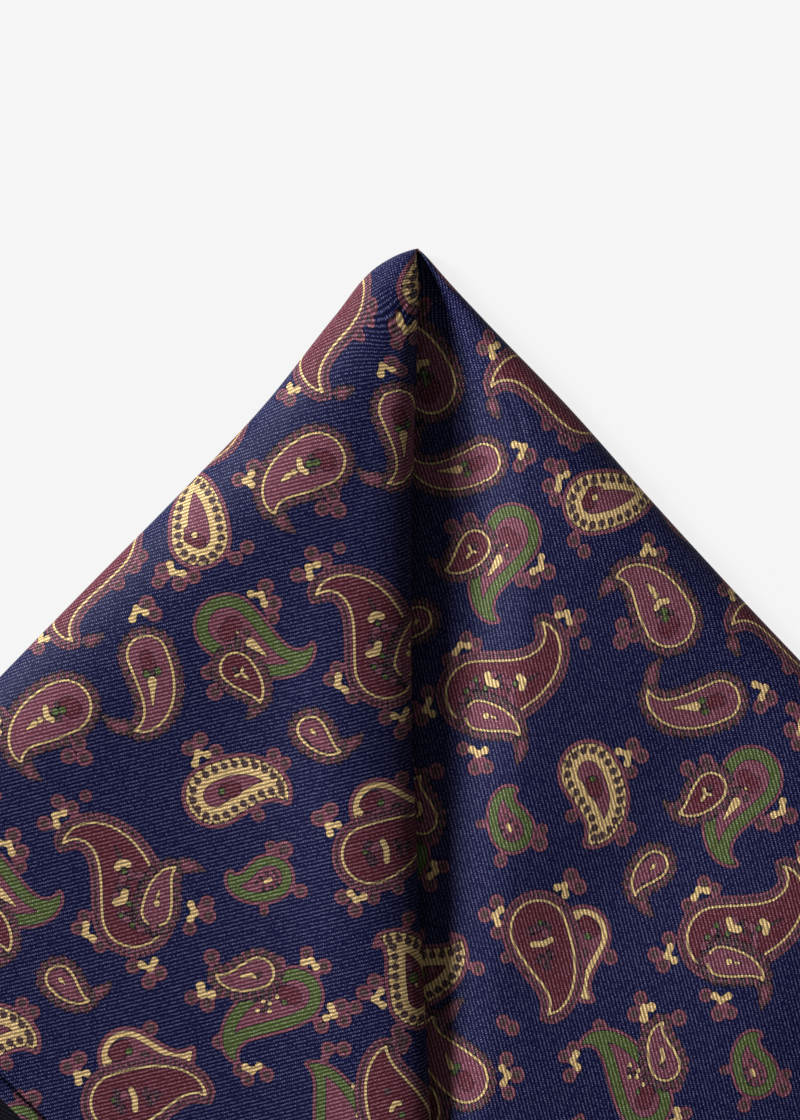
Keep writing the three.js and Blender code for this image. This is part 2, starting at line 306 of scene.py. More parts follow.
@dataclass(frozen=True)
class Fold:
    """The shape of one lobe: lines of points on sections parallel to its hem."""

    side: Side
    table: Table
    lay: Lay
    length: float = LOBE  # from the peak to the hem's edge
    fine: int = 90  # points on each turn and crossing before they are spaced out evenly

    def axes(self) -> tuple[Array, Array]:
        """Unit directions along the folded edge and along the hem.

        Returns:
            The two directions, in that order.
        """
        angle, turn = self.side.value
        edge = np.array([math.cos(math.radians(angle)), math.sin(math.radians(angle))])
        return edge, np.array([-edge[1], edge[0]]) * turn

    def line(self, cut: Array) -> tuple[Array, Array, Array]:
        """Sections as fine lines: curled edge, shoulder, middle, then centre fold or slope.

        Args:
            cut: Distances of the sections from the peak along the folded edge.

        Returns:
            Distance along the hem, height, and length along the line from the folded edge's
            outermost point, a row for each section.
        """
        reach = cut / LOBE
        read = {name: self.table.read(name, reach) for name in self.table.columns[1:]}
        size = np.minimum(1, (cut + 2) / NARROW)
        edge = np.full_like(cut, EDGE_HEIGHT)
        finish = self._roll if self.side is Side.LEFT else self._slope
        far, height, rest = finish(cut, size, read)
        bulge = read["bulge"]
        wide = np.minimum(read["shoulder_width"] + bulge, SHOULDER_SHARE * (far + bulge))
        under_d, under_z = quarter(CURL * size, edge, self.fine)
        over_d, over_z = quarter(wide, read["shoulder"] - edge, self.fine)
        turns = [(under_d[:, ::-1], EDGE_HEIGHT - under_z[:, ::-1]), (over_d, EDGE_HEIGHT + over_z)]
        parts = [(d - bulge[:, None], z) for d, z in turns]
        parts.append(crossing(wide - bulge, read["shoulder"], far, height, read["dip"], self.fine))
        parts += rest
        d = np.concatenate([p[0] for p in parts], axis=1)
        z = np.concatenate([p[1] for p in parts], axis=1)
        steps = np.hypot(np.diff(d, axis=1), np.diff(z, axis=1))
        run = np.concatenate([np.zeros((len(cut), 1)), np.cumsum(steps, axis=1)], axis=1)
        return d, z, run - run[:, self.fine - 1][:, None]

    def _roll(self, cut: Array, size: Array, read: dict[str, Array]) -> tuple[Array, Array, list]:
        """The left lobe's rounded centre fold, and the cloth turned back under it.

        Args:
            cut: Distances of the sections from the peak.
            size: Size of the turns as a share of full size.
            read: The table's columns.

        Returns:
            Where the middle of the lobe ends, how high, and the parts after it.
        """
        end = cut + read["sway"] + FOLD_PAST
        roll = np.minimum(read["roll"], end * ROLL_SHARE)
        halfway = read["lip"] + FOLD_SHARE * (read["crest"] - read["lip"])
        top_d, top_z = quarter(roll, read["crest"] - halfway, self.fine)
        low_d, low_z = quarter(np.minimum(TURNED_BACK * size, roll), halfway - read["lip"], self.fine)
        over = (end[:, None] - top_d[:, ::-1], halfway[:, None] + top_z[:, ::-1])
        return end - roll, read["crest"], [over, (end[:, None] - low_d, halfway[:, None] - low_z)]

    def _slope(self, cut: Array, size: Array, read: dict[str, Array]) -> tuple[Array, Array, list]:
        """The slope beside the right lobe's centre fold, and the stretch under the left lobe.

        Args:
            cut: Distances of the sections from the peak.
            size: Size of the turns, which this side has none of.
            read: The table's columns.

        Returns:
            Where the middle of the lobe ends, how high, and the parts after it.
        """
        foot = np.maximum(cut - read["tuck"], cut * FOOT_SHARE)
        top = foot - np.minimum(read["slope"], foot * SLOPE_SHARE)
        level = np.zeros_like(cut)
        down = crossing(top, read["ridge"], foot, read["floor"], level, self.fine)
        under = crossing(foot, read["floor"], cut, read["floor"], level, self.fine)
        return top, read["ridge"], [down, under]

    @property
    def sign(self) -> int:
        """Which way the flat cloth's measure runs along the folded edge."""
        return self.side.value[1]

    def behind(self) -> "Back":
        """The level stretch behind this lobe."""
        return Back(self.side, self.table, self.lay, self.length)

    def even(self, cuts: Array, row: Array, share: Array) -> tuple[Array, Array, Array]:
        """Points at even shares of the length of sections.

        Args:
            cuts: Distances of the sections from the peak.
            row: The section that each point is on.
            share: How far along its section each point is, from 0 to 1.

        Returns:
            Distance along the hem, height, and length from the folded edge, for each point.
        """
        d, z, run = self.line(cuts)
        low, high = run[:, :1], run[:, -1:]
        near = 0.999  # sections follow one another on one line of numbers, and never touch
        known = (run - low) / (high - low) * near + np.arange(len(cuts))[:, None]
        wanted = row + share * near
        return tuple(np.interp(wanted, known.ravel(), value.ravel()) for value in (d, z, run))

    def place(self, cut: Array, d: Array, z: Array) -> Array:
        """Turns distances along the folded edge, along the hem and up into places in metres.

        Args:
            cut: Distance from the peak along the folded edge.
            d: Distance along the hem from the folded edge.
            z: Height.

        Returns:
            Places, with a last axis of three.
        """
        edge, hem = self.axes()
        x = edge[0] * cut + hem[0] * d
        y = edge[1] * cut + hem[1] * d
        above = np.clip((z - EDGE_HEIGHT) / CREASE_FADE, 0, 1)
        lifted = z + sum(crease.lift(x, y) for crease in CREASES) * above
        return np.stack([PEAK[0] + x, PEAK[1] + y, lifted], axis=-1) * MM


@dataclass(frozen=True)
class Back(Fold):
    """The level stretch behind a lobe, with the same edge, hem and print, face down."""

    height: float = 0.06
    ripple: float = 0.16
    waves: tuple[tuple[float, float, float], ...] = ((0.11, 0.05, 0.0), (-0.03, 0.083, 1.3))

    def even(self, cuts: Array, row: Array, share: Array) -> tuple[Array, Array, Array]:
        """Points at even shares of level sections, as a fold gives them.

        The height ripples by the product of two sines, each of a sum along the hem and down the edge.

        Args:
            cuts: Distances of the sections from the peak.
            row: The section that each point is on.
            share: How far along its section each point is, from 0 to 1.

        Returns:
            Distance along the hem, height, and length from the folded edge, for each point.
        """
        edge, hem = self.axes()
        cut = cuts[row]
        start = np.minimum(BACK_INSET, cut * 0.5)
        end = np.minimum(cut, (-self.sign * FOLD_GAP - edge[0] * cut) / hem[0])
        d = start + share * (end - start)
        wave = math.prod(np.sin(d * a + cut * b + ahead) for a, b, ahead in self.waves)
        return d, self.height + self.ripple * (1 + wave) / 2, -(d + CURL)


LEFT_PULLS = (
    Pull(9, 11, 10, -0.5, 4.6), Pull(14, 14, 6.5, -3.2, -3.2),
    Pull(11, 1, 8, -2.1, -1.5), Pull(24, 22, 13, -0.8, -1.6),
)
RIGHT_PULLS = (Pull(28, 22, 16, -2.3, -1.5), Pull(6, 1, 8, 0, 3.0), Pull(52, 40, 14, -1.4, 0.4))
LEFT_FOLD = Fold(
    Side.LEFT, Table(LEFT_COLUMNS, LEFT_SECTIONS),
    Lay(2.3, (1.0, 0.992), 0.025, (0.2, -4.65), LEFT_PULLS),
)
RIGHT_FOLD = Fold(
    Side.RIGHT, Table(RIGHT_COLUMNS, RIGHT_SECTIONS),
    Lay(-2.0, (1.026, 1.016), 0.056, (-7.85, -3.2), RIGHT_PULLS), LOBE + RIGHT_LONGER,
)


# ---- evenly pointed cloth ----------------------------------------------------------------------


@dataclass(frozen=True)
class Lattice:
    """Rows of points that widen by one point a row, as a triangle of cloth widens to its hem."""

    first: int  # steps across the first row
    rows: int  # steps from the first row to the last

    def row_of(self) -> Array:
        """The row that each point is in."""
        return np.repeat(np.arange(self.rows + 1), self.first + 1 + np.arange(self.rows + 1))

    def start_of(self, row: Array) -> Array:
        """The number of each row's first point: the sum of the rows before it."""
        return row * (self.first + 1) + row * (row - 1) // 2

    def place_in_row(self) -> Array:
        """Each point's place in its row, counted from 0."""
        row = self.row_of()
        return np.arange(len(row)) - self.start_of(row)

    def faces(self) -> Array:
        """Triangles between each row and the next: one on each step of both rows.

        Returns:
            Three point numbers for each triangle.
        """
        row, place = self.row_of(), self.place_in_row()
        inner = row < self.rows
        here = np.arange(len(row))[inner]
        below = self.start_of(row[inner] + 1) + place[inner]
        down = np.stack([here, below, below + 1], axis=1)
        more = place[inner] < self.first + row[inner]
        up = np.stack([here[more], below[more] + 1, here[more] + 1], axis=1)
        return np.concatenate([down, up])

    def coarse(self, step: int) -> tuple[Array, "Lattice"]:
        """The points on every step-th row and place, and the lattice that they make.

        Args:
            step: How many rows and places to go on each time.

        Returns:
            The numbers of the points picked, and their own lattice.
        """
        row, place = self.row_of(), self.place_in_row()
        picked = np.flatnonzero((row % step == 0) & (place % step == 0))
        return picked, Lattice(self.first // step, self.rows // step)

    def rim(self) -> Array:
        """The border points in order: down one side, along the last row, up the other, back.

        Returns:
            The points' numbers, each once.
        """
        rows = np.arange(self.rows + 1)
        starts = self.start_of(rows)
        ends = starts + self.first + rows
        last = np.arange(starts[-1] + 1, ends[-1])
        top = np.arange(ends[0] - 1, starts[0], -1)
        return np.concatenate([starts, last, ends[::-1], top])


def normals_of(points: Array, faces: Array) -> Array:
    """Unit normals at points: the sum of the normals of the triangles that meet there.

    Args:
        points: Places.
        faces: Triangles.

    Returns:
        A unit vector for each place.
    """
    a, b, c = (points[faces[:, i]] for i in range(3))
    face = np.cross(b - a, c - a)
    out = np.stack(
        [
            sum(np.bincount(faces[:, corner], face[:, axis], len(points)) for corner in range(3))
            for axis in range(3)
        ],
        axis=1,
    )
    return out / np.maximum(np.linalg.norm(out, axis=1, keepdims=True), 1e-20)


def make_piece(name: str, points: Array, polygons: list[Array], maps: dict[str, Array]) -> bpy.types.Object:
    """Makes a smooth mesh object.

    Args:
        name: The object's name.
        points: Places in metres.
        polygons: Arrays of faces, each with a row of point numbers for each face.
        maps: UV maps by name, with a row for each corner of each face in order.

    Returns:
        The new object, linked to the scene.
    """
    mesh = bpy.data.meshes.new(name)
    mesh.from_pydata(points.tolist(), [], [face for some in polygons for face in some.tolist()])
    mesh.update()
    for title, values in maps.items():
        layer = mesh.uv_layers.new(name=title)
        layer.data.foreach_set("uv", values.astype(np.float32).ravel())
    mesh.shade_smooth()
    item = bpy.data.objects.new(name, mesh)
    bpy.context.scene.collection.objects.link(item)
    return item


@dataclass
class Shell:
    """A thin closed shell of cloth: a fine face that shows, a coarse one behind, and a rim."""

    name: str
    points: Array  # the face that shows
    lattice: Lattice
    flip: bool
    cut: Array  # each point in the flat cloth, in millimetres
    sheet: Array  # each point in a right triangle under a unit square's diagonal
    thickness: float = CLOTH
    map_size: Point = (0.98, 0.9)  # that triangle on the bake map, which has the hidden face too
    map_edge: float = 0.01
    map_rim: float = 0.002  # the rim's width on it

    def build(self) -> bpy.types.Object:
        """Makes the mesh, with the flat cloth's measure in one UV map and a bake map in another.

        Returns:
            The new object, linked to the scene.
        """
        front = self.lattice.faces()
        normal = normals_of(self.points, front[:, ::-1] if self.flip else front)
        picked, small = self.lattice.coarse(COARSE)
        behind = self.points[picked] - normal[picked] * self.thickness * MM
        shift = len(self.points)
        back = small.faces()[:, ::-1] + shift
        rim, back_rim = self.lattice.rim(), small.rim()
        count = len(back_rim)
        along = (np.arange(count)[:, None] * COARSE + np.arange(COARSE + 1)) % len(rim)
        after = back_rim[(np.arange(count) + 1) % count]
        fans = np.concatenate([rim[along], after[:, None] + shift, back_rim[:, None] + shift], axis=1)
        polygons = [front, back, fans]
        if self.flip:
            polygons = [faces[:, ::-1] for faces in polygons]
        laid = self.map_edge + self.sheet * self.map_size
        over = 1 - laid[picked]
        out = laid[picked] - laid.mean(axis=0)
        beside = laid[picked] + out / np.linalg.norm(out, axis=1, keepdims=True) * self.map_rim
        bake = [
            np.concatenate([laid, over])[polygons[0].ravel()],
            np.concatenate([laid, over])[polygons[1].ravel()],
            np.concatenate([laid, beside])[polygons[2].ravel()],
        ]
        corners = np.concatenate([faces.ravel() for faces in polygons])
        measure = np.concatenate([self.cut, self.cut[picked]])[corners]
        every = np.concatenate([self.points, behind])
        return make_piece(self.name, every, polygons, {"Cut": measure, "OFBake": np.concatenate(bake)})


@dataclass
class Stretch:
    """A stretch of a lobe, from near the peak to its hem."""

    name: str
    fold: Fold
    first: int = 32  # steps across the first section
    rows: int = 400
    start: float = 0.0  # where it starts, along the folded edge

    def build(self) -> bpy.types.Object:
        """Spaces points evenly along each section, so that the flat cloth keeps its measure.

        Returns:
            The new object.
        """
        lattice = Lattice(self.first, self.rows)
        cuts = np.linspace(self.start, self.fold.length - HEM_WIDTH, self.rows + 1)
        row, place = lattice.row_of(), lattice.place_in_row()
        share = place / (self.first + row)
        d, z, run = self.fold.even(np.maximum(cuts, 1e-3), row, share)
        nose = np.sqrt(1 - (1 - np.clip(cuts[row] / NOSE, 0, 1)) ** 2)
        points = self.fold.place(cuts[row], d * nose, NOSE_HEIGHT + (z - NOSE_HEIGHT) * nose)
        cut = self.fold.lay.read(self.fold.sign * cuts[row], run)
        sheet = np.stack([row / self.rows, place / (self.first + self.rows)], axis=1)
        flip = (self.fold.side is Side.RIGHT) != isinstance(self.fold, Back)
        return Shell(self.name, points, lattice, flip, cut, sheet).build()


# ---- the print ---------------------------------------------------------------------------------

REPEAT = (67.05, 121.0)  # the print repeats after this much cloth, along the fold and across it
OUTLINE = 0.13  # a fine dark line runs round every colour
LINE = 0.25  # half the width of a cream line
FAR = 3.0  # distances are kept up to this
PETAL = 0.98  # petals, their hearts and stems are drawn at this share of their charted size
HEART = 0.52
STEM = 0.85
STEM_SHARE = 1.15  # stems are this much wider than charted
NEIGHBOUR = 3.6  # a petal this near to its drop or its stem is joined to it
JOIN = (0.85, 0.7)  # half the width of such a join, at the petal and at its other end
KNOB = 1.3  # a stem's knobs are this much wider than the stem
SCALLOP_REACH = 2.0  # scallops stand out this far from the cream line
DOT_RING = 1.12  # and their dots lie this far out
TAIL_DOTS = (-0.62, 1.15, 0.34)  # a tail's dots: how far out, their pitch and radius
TAIL_STEPS = 24  # places along a tail's spine
TAIL_INSET = 0.15  # and a tail is drawn this much slimmer than charted
BEADS = ((1.25, 0.68), (0.7, 0.28), (0.3, 0.2))  # a bead and its stalk: depth and radius
BEAD_CLEAR = 0.85  # beads whose depth falls to this share, in the narrow tip, are left out
BEADED_BAND = 3.3  # width of the cream band that holds the beads
EDGING = 4.0  # edgings and petals reach no further than this past what they edge

# widths of the fine dark line round small things
DOT_EDGE = 0.08  # an edging's dots
FINE_EDGE = 0.05  # hearts and a tail's dots
BEAD_EDGE = 0.04
VEIN = 0.16  # and of a line inside a figure


class Paint(IntEnum):
    """The print's colours, in the order in which they are laid over the ground."""

    DARK = 0
    PINK = 1
    WINE = 2
    GREEN = 3
    BROWN = 4
    CREAM = 5


class Border(Enum):
    """The edgings of the figures: scallop pitch, scallop radius, band width, dot radius."""

    SCALLOPED = (1.75, 0.92, 1.15, 0.56)
    FINE = (0.98, 0.60, 1.45, 0.30)
    BEADED = (1.9, 0.0, 0.85, 0.0)
    BANDED = (1.05, 0.0, 0.72, 0.0)
    HOOKED = (1.05, 0.0, 0.85, 0.0)


def segment_distance(points: Array, path: Array, radii: Array) -> Array:
    """Distance to a line of straight pieces whose thickness changes along it.

    Args:
        points: Places, a row for each.
        path: The line's corners.
        radii: Its half width at each corner.

    Returns:
        Signed distances, negative inside.
    """
    start, step = path[:-1], np.diff(path, axis=0)
    reach = points[:, None] - start
    along = np.clip((reach * step).sum(-1) / np.maximum((step**2).sum(-1), 1e-9), 0, 1)
    gap = np.linalg.norm(reach - along[..., None] * step, axis=-1)
    return (gap - radii[:-1] - along * np.diff(radii)).min(axis=1)


def loop_distance(points: Array, loop: Array) -> Array:
    """Signed distance to a closed outline, negative inside.

    Args:
        points: Places, a row for each.
        loop: The outline's corners in order.

    Returns:
        The distance to the nearest side, with a sign from how often a ray crosses the outline.
    """
    end = np.roll(loop, -1, axis=0)
    closed = np.concatenate([loop, loop[:1]])
    gap = segment_distance(points, closed, np.zeros(len(closed)))
    px, py = points[:, :1], points[:, 1:]
    rising = (loop[:, 1] > py) != (end[:, 1] > py)
    height = np.where(end[:, 1] == loop[:, 1], 1e-9, end[:, 1] - loop[:, 1])
    crossed = px < loop[:, 0] + (end[:, 0] - loop[:, 0]) * (py - loop[:, 1]) / height
    inside = np.logical_xor.reduce(rising & crossed, axis=1)
    return np.where(inside, -gap, gap)


@dataclass(frozen=True)
class Drop:
    """A paisley drop: a round base and a body that narrows along a curving spine to a tip.

    The spine's heading is heading + turn * t + hook * t^3 degrees at the share t of its length,
    and the body's half width there is radius * (1 - t^taper).
    """

    x: float  # middle of the round base
    y: float
    radius: float
    length: float
    heading: float
    turn: float = 0.0
    hook: float = 0.0
    taper: float = 2.0

    def outline(self, steps: int = 70) -> Array:
        """The outline's corners, up one side, round the tip, down the other and round the base.

        Args:
            steps: Places along the spine.

        Returns:
            The corners, a row for each.
        """
        t = np.linspace(0, 1, steps)
        heading = np.radians(self.heading + self.turn * t + self.hook * t**3)
        ahead = np.stack([np.cos(heading), np.sin(heading)], axis=1)
        moves = (ahead[1:] + ahead[:-1]) / 2 * self.length / (steps - 1)
        spine = np.array([self.x, self.y]) + np.concatenate([np.zeros((1, 2)), moves.cumsum(axis=0)])
        side = np.stack([-ahead[:, 1], ahead[:, 0]], axis=1) * (self.radius * (1 - t**self.taper))[:, None]
        behind = np.linspace(-math.pi / 2, -3 * math.pi / 2, steps // 2)[1:-1] + heading[0]
        base = spine[0] + self.radius * np.stack([np.cos(behind), np.sin(behind)], axis=1)
        return np.concatenate([spine + side, (spine - side)[-2::-1], base])


def strung(loop: Array, offset: float, pitch: float) -> Array:
    """Places evenly spaced along a line that runs outside a closed outline.

    Args:
        loop: The outline's corners, anticlockwise or clockwise.
        offset: How far outside the line runs, negative for inside.
        pitch: The spacing wanted, stretched a little to come out even.

    Returns:
        The places, a row for each.
    """
    area = np.sum(loop[:, 0] * np.roll(loop[:, 1], -1) - loop[:, 1] * np.roll(loop[:, 0], -1))
    along = np.roll(loop, -1, axis=0) - np.roll(loop, 1, axis=0)
    along /= np.maximum(np.linalg.norm(along, axis=1, keepdims=True), 1e-9)
    out = np.stack([along[:, 1], -along[:, 0]], axis=1) * np.sign(area)
    line = loop + out * offset
    line = np.concatenate([line, line[:1]])
    run = np.concatenate([[0], np.cumsum(np.linalg.norm(np.diff(line, axis=0), axis=1))])
    count = max(int(round(run[-1] / pitch)), 3)
    at = (np.arange(count) + 0.5) * run[-1] / count
    return np.stack([np.interp(at, run, line[:, axis]) for axis in range(2)], axis=1)


@dataclass
class Canvas:
    """The paints laid so far at some places in the cloth, each a signed distance field."""

    points: Array
    fields: Array = field(init=False)

    def __post_init__(self) -> None:
        """Starts with bare ground."""
        self.fields = np.full((len(Paint), len(self.points)), FAR)

    def lay(self, paint: Paint, distance: Array, edge: float = OUTLINE) -> None:
        """Lays a shape of one paint over what is there, with a fine dark line round it.

        Args:
            paint: The paint.
            distance: Signed distance to the shape at every place.
            edge: Width of the dark line.
        """
        self.fields[1:] = np.maximum(self.fields[1:], edge - distance)
        self.fields[paint] = np.minimum(self.fields[paint], distance)
        self.fields[Paint.DARK] = np.minimum(self.fields[Paint.DARK], distance - OUTLINE)

    def gaps(self, places: Array) -> Array:
        """Distances from every place in the cloth to some others, a column for each of those."""
        return np.linalg.norm(self.points[:, None] - places, axis=-1)

    def dots(self, paint: Paint, places: Array, radius: float, edge: float = 0.0) -> None:
        """Lays round dots of one size.

        Args:
            paint: The paint.
            places: The dots' middles, which may be none.
            radius: Their radius.
            edge: Width of the dark line round them.
        """
        if len(places):
            self.lay(paint, self.gaps(places).min(axis=1) - radius, edge)


@dataclass(frozen=True)
class Stroke:
    """A dot, or a line of straight pieces whose half width runs evenly from start to end."""

    paint: Paint
    path: tuple[Point, ...]
    start: float
    end: float | None = None

    def lay(self, canvas: Canvas) -> None:
        """Lays the stroke.

        Args:
            canvas: Where to lay it.
        """
        path = np.array(self.path if len(self.path) > 1 else self.path * 2, dtype=float)
        radii = np.linspace(self.start, self.start if self.end is None else self.end, len(path))
        canvas.lay(self.paint, segment_distance(canvas.points, path, radii))


@dataclass(frozen=True)
class Flower:
    """A sprig: scalloped petals with brown hearts round a forked cream stem."""

    petals: tuple[tuple[float, float, float], ...]  # middle and radius of each
    stem: tuple[Point, ...] = ()
    stem_width: float = 0.5

    def lay_petals(self, canvas: Canvas, drop: Array) -> None:
        """Lays the petals, each a lobe round a brown heart, joined to the drop and the stem.

        Args:
            canvas: Where to lay them.
            drop: The outline of the drop that they grow from.
        """
        shape = np.array(self.petals)
        gap = canvas.gaps(shape[:, :2])
        fields = [*(gap - shape[:, 2] * PETAL).T]
        for target in (drop, np.array(self.stem)):
            for at in shape[:, :2] if len(target) else ():
                far = np.linalg.norm(target - at, axis=1)
                if far.min() < NEIGHBOUR:
                    path = np.stack([at, target[far.argmin()]])
                    fields.append(segment_distance(canvas.points, path, np.array(JOIN)))
        canvas.lay(Paint.PINK, np.min(fields, axis=0))
        canvas.lay(Paint.BROWN, (gap - shape[:, 2] * HEART).min(axis=1), FINE_EDGE)

    def lay_stem(self, canvas: Canvas) -> None:
        """Lays the stem over the petals, with a knob at each corner.

        Args:
            canvas: Where to lay it.
        """
        if self.stem:
            path = np.array(self.stem)
            path = path[1] + (path - path[1]) * STEM
            width = self.stem_width * STEM_SHARE
            Stroke(Paint.CREAM, tuple(map(tuple, path)), width).lay(canvas)
            canvas.dots(Paint.CREAM, path, width * KNOB)


@dataclass(frozen=True)
class Figure:
    """One figure of the print: a drop with its edging, what lies in it, and its sprigs."""

    body: Drop
    border: Border
    fill: Paint
    tail: Drop | None = None
    strokes: tuple[Stroke, ...] = ()
    flowers: tuple[Flower, ...] = ()
    over: tuple["Figure", ...] = ()
    under: tuple["Figure", ...] = ()
    veins: tuple[float, ...] = ()  # how far inside the cream line a fine dark line runs
    band: float = 1.9

    def lay(self, canvas: Canvas) -> None:
        """Lays the figure, from what lies under it to what lies over it.

        Args:
            canvas: Where to lay it.
        """
        for flower in self.flowers:
            flower.lay_petals(canvas, self.body.outline())
        for figure in self.under:
            figure.lay(canvas)
        self._edge(canvas)
        self._inside(canvas)
        for figure in self.over:
            figure.lay(canvas)
        for stroke in self.strokes:
            stroke.lay(canvas)
        for flower in self.flowers:
            flower.lay_stem(canvas)

    def _edge(self, canvas: Canvas) -> None:
        """Lays the pink edging and its brown dots.

        Args:
            canvas: Where to lay them.
        """
        pitch, lobe, width, dot = self.border.value
        loop = self.body.outline()
        edge = loop_distance(canvas.points, loop) - width
        if lobe:
            places = strung(loop, SCALLOP_REACH - lobe, pitch)
            edge = np.minimum(edge, canvas.gaps(places).min(axis=1) - lobe)
        if self.tail:
            tail = self.tail.outline(TAIL_STEPS)
            edge = np.minimum(edge, loop_distance(canvas.points, tail) + TAIL_INSET)
        canvas.lay(Paint.PINK, edge)
        if dot:
            canvas.dots(Paint.BROWN, strung(loop, DOT_RING, pitch), dot, DOT_EDGE)
            if self.tail:
                out, spacing, radius = TAIL_DOTS
                canvas.dots(Paint.BROWN, strung(tail, out, spacing), radius, FINE_EDGE)

    def _inside(self, canvas: Canvas) -> None:
        """Lays what the edging encloses, by the kind of edging.

        Args:
            canvas: Where to lay it.
        """
        loop = self.body.outline()
        inner = loop_distance(canvas.points, loop)
        if self.border is Border.BEADED:
            canvas.lay(Paint.CREAM, inner)
            for depth, radius in BEADS:
                beads = strung(loop, -depth, self.border.value[0])
                clear = loop_distance(beads, loop) < -BEAD_CLEAR * depth
                canvas.dots(Paint.BROWN, beads[clear], radius, BEAD_EDGE)
            canvas.lay(self.fill, inner + BEADED_BAND)
        elif self.border in (Border.BANDED, Border.HOOKED):
            canvas.lay(Paint.GREEN if self.border is Border.BANDED else Paint.CREAM, inner)
            canvas.lay(self.fill, inner + self.band)
        else:
            canvas.lay(Paint.CREAM, inner - LINE)
            canvas.lay(self.fill, inner + LINE + OUTLINE)
        for depth in self.veins:
            canvas.lay(self.fill, inner + depth, VEIN)

    def reach(self) -> tuple[Array, float]:
        """A circle that holds all of the figure.

        Returns:
            Its middle and its radius.
        """
        loops = [self.body.outline()] + [f.body.outline() for f in self.over + self.under]
        marks = [np.array([p[:2] for p in flower.petals]) for flower in self.flowers if flower.petals]
        every = np.concatenate(loops + marks)
        middle = (every.min(axis=0) + every.max(axis=0)) / 2
        return middle, float(np.linalg.norm(every - middle, axis=1).max()) + EDGING


def dot(paint: Paint, x: float, y: float, radius: float) -> Stroke:
    """A round dot."""
    return Stroke(paint, ((x, y),), radius)


def dots(paint: Paint, radius: float, *places: Point) -> tuple[Stroke, ...]:
    """Round dots of one size."""
    return tuple(dot(paint, x, y, radius) for x, y in places)


PINK, WINE, GREEN, BROWN, CREAM = Paint.PINK, Paint.WINE, Paint.GREEN, Paint.BROWN, Paint.CREAM
FINE, SCALLOPED = Border.FINE, Border.SCALLOPED

